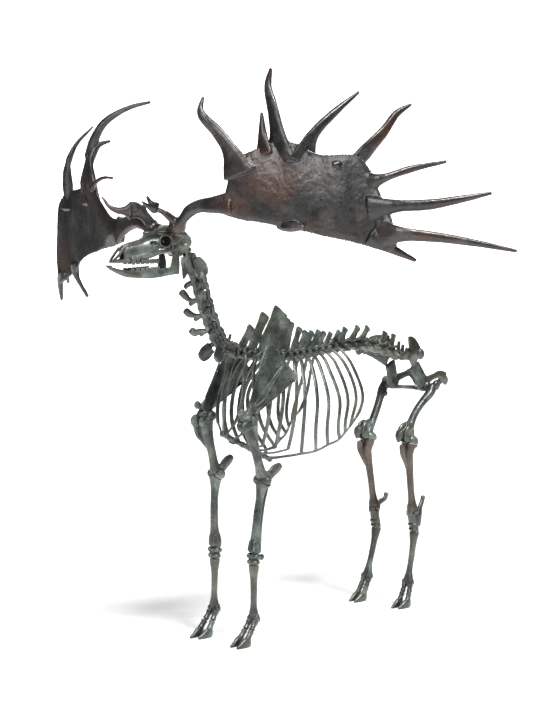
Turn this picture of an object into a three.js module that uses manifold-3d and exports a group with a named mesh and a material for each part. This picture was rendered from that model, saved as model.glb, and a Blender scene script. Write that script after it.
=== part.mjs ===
import * as THREE from "three";
import { mergeVertices } from "three/addons/utils/BufferGeometryUtils.js";
import { MeshoptSimplifier } from "three/addons/libs/meshopt_simplifier.module.js";
import Module from "manifold-3d";

const wasm = await Module();
wasm.setup();
await MeshoptSimplifier.ready;

// Skeleton of a giant deer, life size, in millimetres. It faces -Y, its left side is +X, the floor is z = 0.
// Points below are in the animal's own frame; the last lines move the group so the box middle is the origin.
const GAP = 0.3;
const EVEN_OUT = 3.2;
const FINE_EVEN_OUT = 2.6;
const SLIVER = 0.06;
const SOCKET_GROWTH = 1.012;
const BOX_MIDDLE = [126.5, -107.2];
const SHAFT_SIDES = 6;
const TINE_THICKNESS = 18;
const ROOT_FLARE = 1.6;
const BEAM_SIDES = 8;

const COLOURS = {
  bone: { color: 0x3b403d, roughness: 0.42, metalness: 0.25 },
  shin: { color: 0x41352c, roughness: 0.4, metalness: 0.2 },
  antler: { color: 0x24221f, roughness: 0.36, metalness: 0.25 },
};

// Joint centres of the four legs, from the shoulder or hip down.
const LEFT_FRONT = {
  top: [165, -601, 1175],
  bend: [160, -482, 850],
  low: [150, -538, 477],
  cannon: [150, -545, 415],
  fetlock: [152, -546, 132],
  toes: [[132, -700], [184, -706]],
};
const RIGHT_FRONT = {
  top: [-162, -584, 1175],
  bend: [-160, -502, 857],
  low: [-148, -521, 474],
  cannon: [-148, -528, 411],
  fetlock: [-150, -530, 142],
  toes: [[-126, -672], [-176, -684]],
};
const LEFT_HIND = {
  top: [125, 928, 1246],
  bend: [160, 718, 952],
  low: [147, 786, 538],
  cannon: [147, 802, 424],
  fetlock: [145, 750, 137],
  toes: [[126, 628], [170, 636]],
};
const RIGHT_HIND = {
  top: [-125, 928, 1246],
  bend: [-152, 728, 947],
  low: [-140, 794, 530],
  cannon: [-140, 812, 414],
  fetlock: [-143, 733, 138],
  toes: [[-134, 612], [-178, 618]],
};

// The spine: y and z of the line through the vertebral bodies, from the neck to the rump.
const SPINE_LINE = [
  [-545, 1512], [-477, 1499], [-315, 1473], [-77, 1464], [136, 1478], [329, 1494], [536, 1493], [767, 1435],
  [960, 1392],
];
const THORACIC_Y = [-490, -410, -332, -258, -190, -132, -78, -26, 26, 78, 131, 186, 246];
const THORACIC_TIP_HEIGHT = [142, 216, 255, 232, 206, 186, 155, 130, 123, 121, 108, 96, 96];
const THORACIC_TIP_LEAN = [96, 121, 152, 118, 74, 50, 64, 62, 59, 65, 58, 57, 68];
const LUMBAR_FIRST_Y = 320;
const LUMBAR_PITCH = 88;
const LUMBAR_TIP_HEIGHT = [104, 106, 100, 44, 98, 102];
const LUMBAR_TIP_LEAN = [48, 68, 66, 14, 44, 34];
const SACRUM_START_Y = 806;
const SACRUM_END_Y = 975;
const STERNUM_FRONT = [0, -624, 1098];
const STERNUM_REAR = [0, -250, 926];
const RIB_SPLIT_X = 40;
const STERNUM_HALF = 20;

// Neck joints from the skull down, the last one at the chest.
const NECK = [
  [-8, -875, 2047], [-4, -836, 1939], [0, -797, 1836], [0, -768, 1758], [0, -728, 1677], [0, -684, 1600],
  [0, -628, 1534], [0, -545, 1512],
];

// Where the two antlers sit on the skull.
const PEDICLE_SEAT = { left: [88, -1044, 2177], right: [-88, -1024, 2167] };

// Turn of the head to its right, in degrees.
const HEAD_YAW = 7;

// Vertebrae of the neck from the atlas down: height of the spine, reach of the side processes, and for the
// third to the fifth how far the front knobs hang down and reach ahead.
const CERVICAL_SPINE_HEIGHT = [0, 84, 72, 68, 70, 74, 92];
const CERVICAL_SPREAD = [0, 52, 52, 52, 54, 56, 56];
const NECK_KNOBS = [[42, 18], [48, 4], [57, -12]];

const meshes = [];

// Vectors and frames
function vec(p) {
  return new THREE.Vector3(p[0], p[1], p[2]);
}

function mix(a, b, t) {
  return a.map((value, i) => value + (b[i] - value) * t);
}

function direction(a, b) {
  return vec(b).sub(vec(a)).normalize();
}

function along(y) {
  let i = 1;
  while (i < SPINE_LINE.length - 1 && SPINE_LINE[i][0] < y) {
    i += 1;
  }
  const [y0, z0] = SPINE_LINE[i - 1];
  const [y1, z1] = SPINE_LINE[i];
  return z0 + ((z1 - z0) * (y - y0)) / (y1 - y0);
}

// Frame of a long bone: z runs up from the lower joint to the upper one, x points away from the body.
function boneFrame(upper, lower, side) {
  const up = direction(lower, upper);
  const out = vec([side, 0, 0]);
  out.addScaledVector(up, -out.dot(up)).normalize();
  const back = new THREE.Vector3().crossVectors(up, out).multiplyScalar(side);
  return new THREE.Matrix4().makeBasis(out, back, up).setPosition(vec(upper));
}

function headFrame() {
  const yaw = THREE.MathUtils.degToRad(HEAD_YAW);
  const forward = vec([-Math.sin(yaw), -Math.cos(yaw), 0]);
  const left = vec([Math.cos(yaw), -Math.sin(yaw), 0]);
  return new THREE.Matrix4().makeBasis(forward, left, vec([0, 0, 1])).setPosition(vec(NECK[0]));
}

// Closed surfaces
function solidOf(geometry) {
  geometry.deleteAttribute("normal");
  geometry.deleteAttribute("uv");
  const merged = mergeVertices(geometry, 1e-4);
  return new wasm.Manifold(new wasm.Mesh({
    numProp: 3,
    vertProperties: new Float32Array(merged.attributes.position.array),
    triVerts: new Uint32Array(merged.index.array),
  }));
}

function loft(rings, startTip, endTip) {
  const sides = rings[0].length;
  const points = [];
  const triangles = [];
  for (const ring of rings) {
    for (const p of ring) {
      points.push(p.x, p.y, p.z);
    }
  }
  for (let i = 0; i < rings.length - 1; i += 1) {
    for (let k = 0; k < sides; k += 1) {
      const next = (k + 1) % sides;
      const a = i * sides + k;
      const b = i * sides + next;
      triangles.push(a, b, b + sides, a, b + sides, a + sides);
    }
  }
  const start = rings.length * sides;
  const last = (rings.length - 1) * sides;
  points.push(startTip.x, startTip.y, startTip.z, endTip.x, endTip.y, endTip.z);
  for (let k = 0; k < sides; k += 1) {
    const next = (k + 1) % sides;
    triangles.push(start, next, k, start + 1, last + k, last + next);
  }
  const geometry = new THREE.BufferGeometry();
  geometry.setAttribute("position", new THREE.Float32BufferAttribute(points, 3));
  geometry.setIndex(triangles);
  return solidOf(geometry);
}

// Round bar along a path of [x, y, z, half width, half thickness]; the width lies along the across vector.
function tube(path, sides = SHAFT_SIDES, across = [1, 0, 0]) {
  const centres = path.map(vec);
  const count = path.length;
  const tangents = centres.map((p, i) => {
    const from = centres[Math.max(i - 1, 0)];
    const to = centres[Math.min(i + 1, count - 1)];
    return new THREE.Vector3().subVectors(to, from).normalize();
  });
  const rings = path.map(([, , , width, thick = width], i) => {
    const wide = vec(across);
    wide.addScaledVector(tangents[i], -wide.dot(tangents[i])).normalize();
    const deep = new THREE.Vector3().crossVectors(tangents[i], wide);
    const ring = [];
    for (let k = 0; k < sides; k += 1) {
      const angle = (2 * Math.PI * (k + 0.5)) / sides;
      const p = centres[i].clone();
      p.addScaledVector(wide, width * Math.cos(angle));
      p.addScaledVector(deep, thick * Math.sin(angle));
      ring.push(p);
    }
    return ring;
  });
  const dome = (i) => 0.5 * Math.min(path[i][3], path[i][4] ?? path[i][3]);
  const startTip = centres[0].clone().addScaledVector(tangents[0], -dome(0));
  const endTip = centres[count - 1].clone().addScaledVector(tangents[count - 1], dome(count - 1));
  return loft(rings, startTip, endTip);
}

function blob(centre, radii, round = false) {
  const geometry = round ? new THREE.SphereGeometry(1, 8, 5) : new THREE.IcosahedronGeometry(1.1, 0);
  geometry.scale(radii[0], radii[1], radii[2]);
  geometry.translate(centre[0], centre[1], centre[2]);
  return solidOf(geometry);
}

// Curved plate: each station gives its lower edge, middle, upper edge and half thickness.
function plate(stations, normal, steps = 4) {
  const n = vec(normal).normalize();
  const rings = stations.map(([low, middle, high, thick]) => {
    const bow = middle.map((value, i) => 2 * value - (low[i] + high[i]) / 2);
    const at = (s) => mix(mix(low, bow, s), mix(bow, high, s), s);
    const ring = [];
    for (let k = 0; k < 2 * steps; k += 1) {
      const s = k <= steps ? k / steps : (2 * steps - k) / steps;
      const face = k % steps === 0 ? 0 : Math.sign(steps - k) * thick * Math.sqrt(Math.sin(Math.PI * s));
      ring.push(vec(at(s)).addScaledVector(n, face));
    }
    return ring;
  });
  const middle = (i) => vec(stations[i][1]);
  const solid = loft(rings, middle(0), middle(stations.length - 1));
  if (solid.volume() > 0) {
    return solid;
  }
  return loft(rings.map((ring) => ring.reverse()), middle(0), middle(stations.length - 1));
}

// Joins the pieces of a bone and evens out the seams between them.
function join(parts, even = EVEN_OUT) {
  return evened(wasm.Manifold.union(parts), even);
}

function evened(solid, even) {
  const mesh = solid.getMesh();
  const rule = ["ErrorAbsolute"];
  const [triangles] = MeshoptSimplifier.simplify(mesh.triVerts, mesh.vertProperties, 3, 60, even, rule);
  const geometry = new THREE.BufferGeometry();
  geometry.setAttribute("position", new THREE.Float32BufferAttribute(mesh.vertProperties, 3));
  geometry.setIndex(new THREE.Uint32BufferAttribute(triangles, 1));
  return foldFree(mergeVertices(geometry, 1e-4)) ? solidOf(geometry) : evened(solid, even * 0.7);
}

// True when every edge has exactly two faces.
function foldFree(geometry) {
  const faces = geometry.index.array;
  const uses = new Map();
  for (let i = 0; i < faces.length; i += 1) {
    const a = faces[i];
    const b = faces[i % 3 === 2 ? i - 2 : i + 1];
    const key = Math.min(a, b) + "_" + Math.max(a, b);
    uses.set(key, (uses.get(key) ?? 0) + 1);
  }
  return [...uses.values()].every((count) => count === 2);
}

function placed(solid, frame) {
  return solid.transform(frame.elements);
}

function keepAbove(solid, point, normal, margin = GAP / 2) {
  const n = vec(normal).normalize();
  return solid.trimByPlane([n.x, n.y, n.z], n.dot(vec(point)) + margin);
}

function largest(solid) {
  const pieces = solid.decompose();
  return pieces.reduce((best, piece) => (piece.volume() > best.volume() ? piece : best));
}

function addBone(name, solid, look) {
  const mesh = largest(solid.simplify(SLIVER)).getMesh();
  const geometry = new THREE.BufferGeometry();
  geometry.setAttribute("position", new THREE.Float32BufferAttribute(mesh.vertProperties, 3));
  geometry.setIndex(new THREE.Uint32BufferAttribute(mesh.triVerts, 1));
  geometry.computeVertexNormals();
  const bone = new THREE.Mesh(geometry, new THREE.MeshStandardMaterial(COLOURS[look]));
  bone.name = name;
  meshes.push(bone);
}

// Skull and jaws
function oval(forward, halfWidth, top, bottom, sides) {
  const ring = [];
  for (let k = 0; k < sides; k += 1) {
    const angle = (2 * Math.PI * k) / sides;
    const z = (top + bottom) / 2 + ((top - bottom) / 2) * Math.sin(angle);
    ring.push(vec([forward, halfWidth * Math.cos(angle), z]));
  }
  return ring;
}

// Row of cheek teeth: one bar whose crown rises and falls from tooth to tooth.
function cheekTeeth(start, end, count, height) {
  const path = [];
  for (let i = 0; i < count * 2; i += 1) {
    const c = mix(start, end, i / (count * 2 - 1));
    const crown = i % 2 === 0 ? height : height * 0.55;
    path.push([c[0], c[1], c[2], 8, crown]);
  }
  return [tube(path, 4, [0, 1, 0])];
}

function skullSolid() {
  const profile = [
    [-6, 42, 88, 14], [30, 62, 116, -12], [85, 74, 132, -14], [130, 82, 140, -8], [175, 80, 126, -10],
    [215, 70, 104, -22], [258, 56, 86, -34], [306, 46, 65, -40], [360, 38, 52, -41], [400, 30, 42, -42],
  ];
  const rings = profile.map(([f, w, top, bottom]) => oval(f, w, top, bottom, 12));
  const shell = loft(rings, vec([-12, 0, 50]), vec([418, 0, 8]));
  const parts = [shell];
  parts.push(tube([[300, 0, 60, 24, 8], [360, 0, 49, 20, 6], [408, 0, 36, 13, 4]], 6, [0, 1, 0]));
  for (const s of [1, -1]) {
    parts.push(tube([
      [380, s * 24, -34, 11, 12], [430, s * 18, -38, 9, 8], [478, s * 10, -41, 9, 5],
    ], 6, [0, 1, 0]));
    parts.push(tube([
      [470, s * 11, -38, 6, 7], [440, s * 21, -10, 5, 9], [400, s * 20, 30, 5, 8],
    ], 6, [0, 1, 0]));
    parts.push(tube([[118, s * 40, 104, 34], [136, s * 70, 120, 31], [144, s * 92, 128, 32]], 6, [1, 0, 0]));
    parts.push(tube([
      [238, s * 52, 8, 9, 15], [196, s * 76, 14, 6, 12],
      [152, s * 82, 18, 6, 11], [108, s * 70, 34, 10, 14],
    ], 6, [0, 1, 0]));
    parts.push(tube([
      [150, s * 80, 18, 6, 8], [154, s * 84, 60, 6, 9], [168, s * 76, 98, 8, 12],
    ], 6, [1, 0, 0]));
    parts.push(blob([192, s * 62, 96], [38, 22, 14]));
    parts.push(blob([2, s * 20, 8], [22, 16, 20]));
    parts.push(tube([
      [26, s * 42, 20, 12, 10], [28, s * 42, -14, 8, 6], [32, s * 40, -44, 5, 4],
    ], 6, [1, 0, 0]));
    parts.push(blob([70, s * 32, -10], [22, 13, 13]));
    parts.push(...cheekTeeth([204, s * 44, -34], [376, s * 34, -40], 5, 17));
  }
  let skull = join(parts, FINE_EVEN_OUT);
  for (const s of [1, -1]) {
    skull = skull.subtract(blob([190, s * 80, 60], [29, 48, 26], true));
    skull = skull.subtract(blob([248, s * 58, 50], [20, 18, 11]));
  }
  skull = skull.subtract(blob([408, 0, 4], [58, 17, 32]));
  return skull;
}

function jawSolid(s) {
  const body = tube([
    [472, s * 9, -72, 8, 6], [440, s * 14, -82, 10, 9],
    [400, s * 22, -93, 9, 13], [350, s * 30, -103, 8, 17],
    [280, s * 38, -106, 9, 20], [200, s * 45, -100, 9, 22],
    [140, s * 50, -92, 8, 22], [98, s * 54, -92, 7, 16],
  ], 6, [0, 1, 0]);
  const ramus = plate([
    [[84, s * 54, -106], [112, s * 54, -110], [156, s * 50, -108], 6],
    [[82, s * 55, -60], [108, s * 55, -60], [142, s * 52, -62], 5],
    [[90, s * 58, -12], [108, s * 58, -12], [130, s * 56, -8], 5],
    [[98, s * 62, 14], [110, s * 62, 14], [124, s * 61, 14], 6],
  ], [0, s, 0], 3);
  const condyle = tube([[116, s * 52, 18, 9, 8], [116, s * 76, 18, 9, 8]], 6, [1, 0, 0]);
  const coronoid = tube([
    [122, s * 58, -12, 11, 5], [122, s * 58, 26, 8, 4], [112, s * 58, 50, 4, 3],
  ], 6, [1, 0, 0]);
  const front = tube([[452, s * 8, -76, 8, 6], [490, s * 12, -64, 9, 4]], 6, [0, 1, 0]);
  const teeth = cheekTeeth([198, s * 45, -86], [378, s * 29, -91], 5, 18);
  return join([body, ramus, condyle, coronoid, front, ...teeth]);
}

// The antlers meet the skull on planes across the two pedicles.
function pedicleNormal(s) {
  return [s * 0.88, 0.02, 0.42];
}

function buildHead() {
  const frame = headFrame();
  const skull = skullSolid();
  const middle = [400, 0, 0];
  let crown = keepAbove(placed(skull, frame), NECK[0], [0, -0.72, 0.69]);
  crown = keepAbove(crown, PEDICLE_SEAT.left, opposite(pedicleNormal(1)));
  crown = keepAbove(crown, PEDICLE_SEAT.right, opposite(pedicleNormal(-1)));
  addBone("skull", crown, "bone");
  for (const [name, s] of [["left", 1], ["right", -1]]) {
    const lowered = jawSolid(s).subtract(skull.translate([0, 0, -GAP]));
    const open = lowered.subtract(skull.translate([0, s * GAP, 0]));
    addBone("mandible_" + name, placed(keepAbove(largest(open), middle, [0, s, 0]), frame), "bone");
  }
}

// Antlers. Each tine runs from inside the palm to its tip, with the half width at its root.
function tine(points, root, tip = 9) {
  const last = points.length - 1;
  return tube(points.map((p, i) => {
    const width = i === 0 ? root * ROOT_FLARE : root + ((tip - root) * i) / last;
    return [...p, width, Math.min(width * 0.8, TINE_THICKNESS)];
  }), 6, [0.3, 0, 1]);
}

function leftAntler() {
  const burr = [100, -1045, 2182];
  const beam = join([
    tube([
      [84, -1040, 2176, 34], [100, -1045, 2184, 46], [112, -1046, 2191, 44], [122, -1047, 2198, 35],
      [190, -1046, 2258, 33, 30], [262, -1044, 2283, 35, 27], [330, -1036, 2288, 42, 24],
      [430, -1010, 2298, 60, 20],
    ], BEAM_SIDES, [0, 0.2, 1]),
  ]);
  const palm = plate([
    [[392, -1016, 2238], [398, -1016, 2285], [404, -1030, 2318], 20],
    [[466, -988, 2215], [448, -998, 2330], [442, -1012, 2476], 18],
    [[590, -934, 2196], [560, -947, 2350], [545, -960, 2562], 16],
    [[680, -885, 2172], [650, -898, 2370], [640, -890, 2596], 15],
    [[760, -840, 2156], [740, -850, 2372], [716, -860, 2594], 15],
    [[850, -780, 2130], [820, -800, 2352], [805, -800, 2540], 14],
    [[930, -735, 2113], [905, -752, 2330], [876, -769, 2536], 14],
    [[1000, -690, 2092], [985, -690, 2310], [960, -715, 2538], 13],
    [[1065, -655, 2074], [1060, -650, 2250], [1031, -662, 2457], 12],
    [[1120, -636, 2066], [1110, -636, 2190], [1080, -640, 2330], 10],
    [[1160, -620, 2090], [1150, -620, 2150], [1125, -625, 2240], 7],
  ], [0.55, -0.8, 0.1]);
  const tines = {
    inner: [
      tine([
        [480, -1000, 2440], [442, -1026, 2554], [385, -1047, 2637], [314, -1096, 2741], [300, -1064, 2810],
      ], 56),
      tine([[580, -930, 2540], [566, -926, 2650], [560, -924, 2732]], 34),
      tine([
        [640, -881, 2500], [627, -888, 2640], [595, -885, 2756], [550, -869, 2864], [520, -816, 2947],
      ], 58, 12),
      tine([[730, -820, 2500], [768, -792, 2616], [810, -690, 2725], [857, -550, 2835]], 56, 8),
    ],
    outer: [
      tine([
        [970, -690, 2440], [975, -680, 2490], [984, -633, 2552], [1016, -543, 2647], [1040, -479, 2730],
        [1078, -418, 2775],
      ], 62),
      tine([[1000, -670, 2390], [1070, -642, 2412], [1150, -513, 2460], [1268, -384, 2497]], 38),
      tine([
        [1030, -670, 2266], [1130, -620, 2283], [1260, -497, 2292], [1370, -366, 2321], [1449, -264, 2346],
      ], 44, 10),
      tine([
        [1060, -650, 2150], [1190, -618, 2150], [1280, -521, 2140], [1420, -350, 2108], [1552, -195, 2069],
      ], 46),
      tine([[1036, -672, 2136], [1150, -586, 2060], [1190, -519, 2024]], 28, 10),
    ],
  };
  const brow = [
    tube([
      [98, -1058, 2206, 30, 20], [80, -1116, 2248, 30, 14],
      [74, -1166, 2270, 32, 10], [76, -1194, 2284, 30, 8],
    ], 6, [0, 1, -0.4]),
    tine([[78, -1176, 2276], [74, -1206, 2302], [68, -1221, 2329]], 18, 7),
    tine([[80, -1186, 2274], [84, -1234, 2284], [88, -1274, 2304]], 18, 6),
  ];
  const lump = blob([704, -878, 2184], [92, 24, 26]);
  return {
    side: "left", burr, beam, palm, tines, brow, lump,
    forkAt: [400, -1016, 2275], forkNormal: [1, 0.2, 0.05],
    splitAt: [880, -770, 2300], splitNormal: [0.84, 0.5, -0.2],
  };
}

function rightAntler() {
  const burr = [-100, -1025, 2169];
  const beam = join([
    tube([
      [-84, -1024, 2166, 34], [-100, -1025, 2170, 46], [-112, -1025, 2174, 44], [-124, -1024, 2179, 36],
      [-190, -1020, 2200, 38, 30], [-280, -996, 2194, 42, 27], [-360, -975, 2172, 54, 24],
      [-430, -950, 2150, 82, 20],
    ], BEAM_SIDES, [0, 0.2, 1]),
  ]);
  const palm = plate([
    [[-392, -940, 2090], [-392, -962, 2150], [-396, -962, 2204], 20],
    [[-480, -930, 2064], [-480, -956, 2146], [-480, -950, 2226], 18],
    [[-560, -925, 2050], [-570, -920, 2160], [-575, -934, 2306], 17],
    [[-660, -895, 2028], [-670, -880, 2185], [-670, -905, 2365], 16],
    [[-760, -870, 2003], [-780, -840, 2180], [-770, -865, 2385], 15],
    [[-860, -825, 1963], [-890, -805, 2165], [-880, -815, 2370], 15],
    [[-940, -775, 1923], [-980, -771, 2143], [-990, -785, 2355], 14],
    [[-1046, -732, 1878], [-1078, -735, 2090], [-1093, -765, 2290], 13],
    [[-1138, -688, 1850], [-1148, -700, 2010], [-1160, -716, 2165], 11],
    [[-1218, -648, 1830], [-1208, -668, 1920], [-1193, -693, 2030], 8],
  ], [0.5, 0.85, 0.1]);
  const tines = {
    inner: [
      tine([
        [-730, -855, 2290], [-734, -855, 2401], [-742, -856, 2475], [-734, -843, 2541], [-709, -822, 2594],
        [-665, -780, 2618],
      ], 46, 8),
      tine([
        [-795, -845, 2290], [-788, -840, 2340], [-780, -848, 2412], [-761, -846, 2518], [-720, -840, 2628],
        [-677, -814, 2709], [-623, -767, 2762], [-573, -713, 2796], [-503, -641, 2822],
      ], 42),
      tine([
        [-680, -900, 2370], [-654, -907, 2391], [-615, -907, 2413], [-561, -913, 2424], [-516, -900, 2422],
      ], 15, 7),
    ],
    outer: [
      tine([
        [-990, -782, 2260], [-990, -782, 2305], [-983, -796, 2391], [-969, -807, 2493], [-936, -784, 2592],
        [-882, -700, 2700],
      ], 44, 6),
      tine([[-1190, -660, 1930], [-1240, -625, 1850], [-1297, -566, 1746]], 36, 10),
      tine([[-1100, -700, 1930], [-1150, -655, 1885], [-1178, -622, 1848]], 24, 10),
      tine([[-960, -765, 1970], [-985, -740, 1905], [-962, -678, 1780]], 30, 10),
    ],
  };
  const brow = [
    tube([
      [-93, -1038, 2190, 28, 18], [-100, -1093, 2240, 30, 14], [-120, -1130, 2262, 44, 9],
      [-138, -1150, 2266, 38, 8],
    ], 6, [0.5, 0.3, 1]),
    tine([
      [-132, -1146, 2256], [-149, -1170, 2256], [-169, -1194, 2258],
      [-200, -1219, 2276], [-231, -1242, 2325],
    ], 30, 6),
    tine([[-112, -1120, 2270], [-108, -1134, 2288], [-113, -1155, 2298]], 15, 7),
    tine([[-100, -1080, 2240], [-92, -1086, 2272], [-86, -1090, 2296]], 15, 7),
  ];
  return {
    side: "right", burr, beam, palm, tines, brow,
    forkAt: [-400, -958, 2150], forkNormal: [-1, 0.2, 0],
    splitAt: [-880, -810, 2160], splitNormal: [-0.93, 0.37, -0.1],
  };
}

function buildAntler(antler) {
  const { side, tines } = antler;
  const skull = placed(skullSolid(), headFrame());
  const seat = PEDICLE_SEAT[side];
  const out = pedicleNormal(side === "left" ? 1 : -1);
  const beam = keepAbove(keepAbove(antler.beam, antler.forkAt, opposite(antler.forkNormal)), seat, out);
  const brow = cleared(cleared(join(antler.brow), antler.beam, antler.burr), skull, [0, -1030, 2100]);
  const lumps = antler.lump ? [antler.lump] : [];
  const blade = keepAbove(join([antler.palm, ...lumps, antler.beam]), antler.forkAt, antler.forkNormal);
  const innerHalf = keepAbove(blade, antler.splitAt, opposite(antler.splitNormal));
  const outerHalf = keepAbove(blade, antler.splitAt, antler.splitNormal);
  addBone("antler_" + side + "_beam", beam, "antler");
  addBone("antler_" + side + "_brow_tine", brow, "antler");
  addBone("antler_" + side + "_palm_inner", join([innerHalf, ...tines.inner]).subtract(outerHalf), "antler");
  addBone("antler_" + side + "_palm_outer", join([outerHalf, ...tines.outer]), "antler");
}

// Neck
function cervical(i) {
  const front = vec(NECK[i]);
  const rear = vec(NECK[i + 1]);
  const axis = new THREE.Vector3().subVectors(front, rear);
  const length = axis.length();
  axis.normalize();
  const left = vec([1, 0, 0]).addScaledVector(axis, -axis.x).normalize();
  const up = new THREE.Vector3().crossVectors(left, axis).multiplyScalar(-1);
  const centre = front.clone().add(rear).multiplyScalar(0.5);
  const frame = new THREE.Matrix4().makeBasis(left, up, axis).setPosition(centre);
  const half = length / 2;
  const core = [tube([
    [0, 0, -half - 6, 28, 26], [0, 0, -half * 0.3, 20, 19],
    [0, 0, half * 0.4, 21, 21], [0, 0, half + 8, 24, 24],
  ])];
  const free = [];
  if (i === 0) {
    core.push(tube([[0, 22, -half * 0.9, 34, 18], [0, 26, half * 0.6, 36, 16]]));
    for (const s of [1, -1]) {
      free.push(plate([
        [[s * 24, -16, -half], [s * 26, 10, -half * 0.6], [s * 28, 12, half * 0.3], 12],
        [[s * 55, -18, -half * 1.5], [s * 56, 18, -half * 0.7], [s * 57, 14, half * 0.5], 8],
        [[s * 76, -4, -half * 1.5], [s * 78, 26, -half * 0.9], [s * 76, 24, half * 0.3], 6],
        [[s * 92, 14, -half * 1.2], [s * 94, 26, -half * 0.9], [s * 90, 28, -half * 0.1], 5],
      ], [0, 1, -0.25], 3));
    }
    return { core, free, frame };
  }
  const height = CERVICAL_SPINE_HEIGHT[i];
  const spread = CERVICAL_SPREAD[i];
  const [bladeAt, bladeReach, bladeTop] = i === 1 ? [half * 0.45, 36, 28] : [4, 16, 9];
  core.push(tube([[0, 26, -half * 0.8, 28, 18], [0, 28, half * 0.8, 26, 16]]));
  core.push(tube([[0, 34, bladeAt, 6, bladeReach], [0, height, -6, 7, bladeTop]]));
  for (const s of [1, -1]) {
    free.push(tube([[s * 24, 34, -half * 0.2, 13, 12], [s * 31, 44, half, 10, 12]], 5));
    free.push(tube([[s * 24, 34, half * 0.1, 13, 12], [s * 31, 42, -half * 0.8, 12, 13]], 5));
    free.push(tube([
      [s * 16, -2, 4, 12, 14], [s * spread * 0.8, -18, -4, 9, 15], [s * spread, -28, -14, 8, 12],
    ], 5, [0, 1, 0]));
    if (i === 5) {
      free.push(plate([
        [[s * 34, -16, -44], [s * 36, -20, -4], [s * 34, -18, 22], 10],
        [[s * 50, -56, -58], [s * 52, -66, -12], [s * 50, -60, 22], 8],
        [[s * 56, -92, -46], [s * 58, -104, -14], [s * 56, -96, 14], 8],
      ], [s, 0.4, 0], 3));
    } else if (i > 1 && i < 5) {
      const [drop, ahead] = NECK_KNOBS[i - 2];
      free.push(tube([
        [s * 18, -4, 0, 12, 12], [s * 46, -26, half * 0.3, 13, 13],
        [s * 64, 6 - drop, half + ahead - 16, 20, 20],
        [s * 70, -drop, half + ahead, 20, 20],
      ]));
    }
  }
  return { core, free, frame };
}

function buildNeck() {
  const names = ["atlas", "axis", "cervical_3", "cervical_4", "cervical_5", "cervical_6", "cervical_7"];
  const last = NECK.length - 1;
  const normals = NECK.map((p, i) => {
    return direction(NECK[Math.max(i - 1, 0)], NECK[Math.min(i + 1, last)]).toArray();
  });
  normals[0] = [0, 0.72, -0.69];
  normals[last] = [0, 0.97, -0.25];
  let before = placed(skullSolid(), headFrame());
  names.forEach((name, i) => {
    const { core, free, frame } = cervical(i);
    const body = keepAbove(placed(wasm.Manifold.union(core), frame), NECK[i], normals[i]);
    const middle = keepAbove(body, NECK[i + 1], opposite(normals[i + 1]));
    const whole = join([middle, placed(wasm.Manifold.union(free), frame)]);
    before = largest(cleared(whole, before, mix(NECK[i], NECK[i + 1], -0.3)));
    addBone(name, before, "bone");
  });
  return before;
}

// Back
function bodies(centres, pitchOf, width, depth) {
  const path = [];
  centres.forEach((y, i) => {
    const half = pitchOf(i) / 2;
    path.push([0, y, along(y), width * 0.8, depth * 0.8]);
    path.push([0, y + half, along(y + half), width, depth]);
  });
  const first = centres[0] - pitchOf(0) / 2;
  const last = path[path.length - 1][1] + 10;
  path.push([0, last, along(last), width, depth]);
  return tube([[0, first, along(first), width, depth], ...path], 6);
}

function thoracicSpine() {
  const pitchOf = (i) => (i < 12 ? THORACIC_Y[i + 1] : LUMBAR_FIRST_Y - 8) - THORACIC_Y[i];
  const parts = [bodies(THORACIC_Y, pitchOf, 25, 24)];
  THORACIC_Y.forEach((y, i) => {
    const z = along(y);
    const height = THORACIC_TIP_HEIGHT[i];
    const tip = [0, y + THORACIC_TIP_LEAN[i], z + height];
    const broad = (13 + 0.06 * height) * (i < 3 ? 1.35 : 1.1) * 1.15;
    const base = [0, y - 2, z + 16];
    parts.push(tube([[...base, 15, 26], [...mix(base, tip, 0.35), 8, broad], [...tip, 9, broad * 1.05]], 4));
    parts.push(tube([[-48, y - 6, z + 22, 12, 12], [48, y - 6, z + 22, 12, 12]], 5, [0, 1, 0]));
  });
  const end = LUMBAR_FIRST_Y - LUMBAR_PITCH / 2;
  let spine = keepAbove(join(parts), NECK[NECK.length - 1], [0, 0.97, -0.25]);
  spine = keepAbove(spine, [0, end, along(end)], [0, -1, 0]);
  spine = keepAbove(spine, [RIB_SPLIT_X, 0, 0], [-1, 0, 0], 0);
  return keepAbove(spine, [-RIB_SPLIT_X, 0, 0], [1, 0, 0], 0);
}

function lumbarSpine() {
  const centres = LUMBAR_TIP_HEIGHT.map((height, i) => LUMBAR_FIRST_Y + i * LUMBAR_PITCH);
  const parts = [bodies(centres, () => LUMBAR_PITCH, 30, 26)];
  centres.forEach((y, i) => {
    const z = along(y);
    const reach = 104 - 6 * Math.abs(i - 2);
    parts.push(tube([[0, y - 26, z + 26, 17, 14], [0, y + 22, z + 26, 15, 12]], 5));
    const foot = [0, y - 2, z + 20];
    const tip = [0, y + LUMBAR_TIP_LEAN[i], z + LUMBAR_TIP_HEIGHT[i]];
    parts.push(tube([[...foot, 11, 34], [...mix(foot, tip, 0.6), 7, 26], [...tip, 10, 30]], 4));
    parts.push(tube([
      [-reach, y - 22, z - 10, 12, 4], [0, y - 2, z + 6, 18, 9], [reach, y - 22, z - 10, 12, 4],
    ], 4, [0, 1, 0]));
  });
  const start = LUMBAR_FIRST_Y - LUMBAR_PITCH / 2;
  const whole = keepAbove(join(parts), [0, start, 0], [0, 1, 0]);
  return keepAbove(whole, [0, SACRUM_START_Y, 0], [0, -1, 0]);
}

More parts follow.
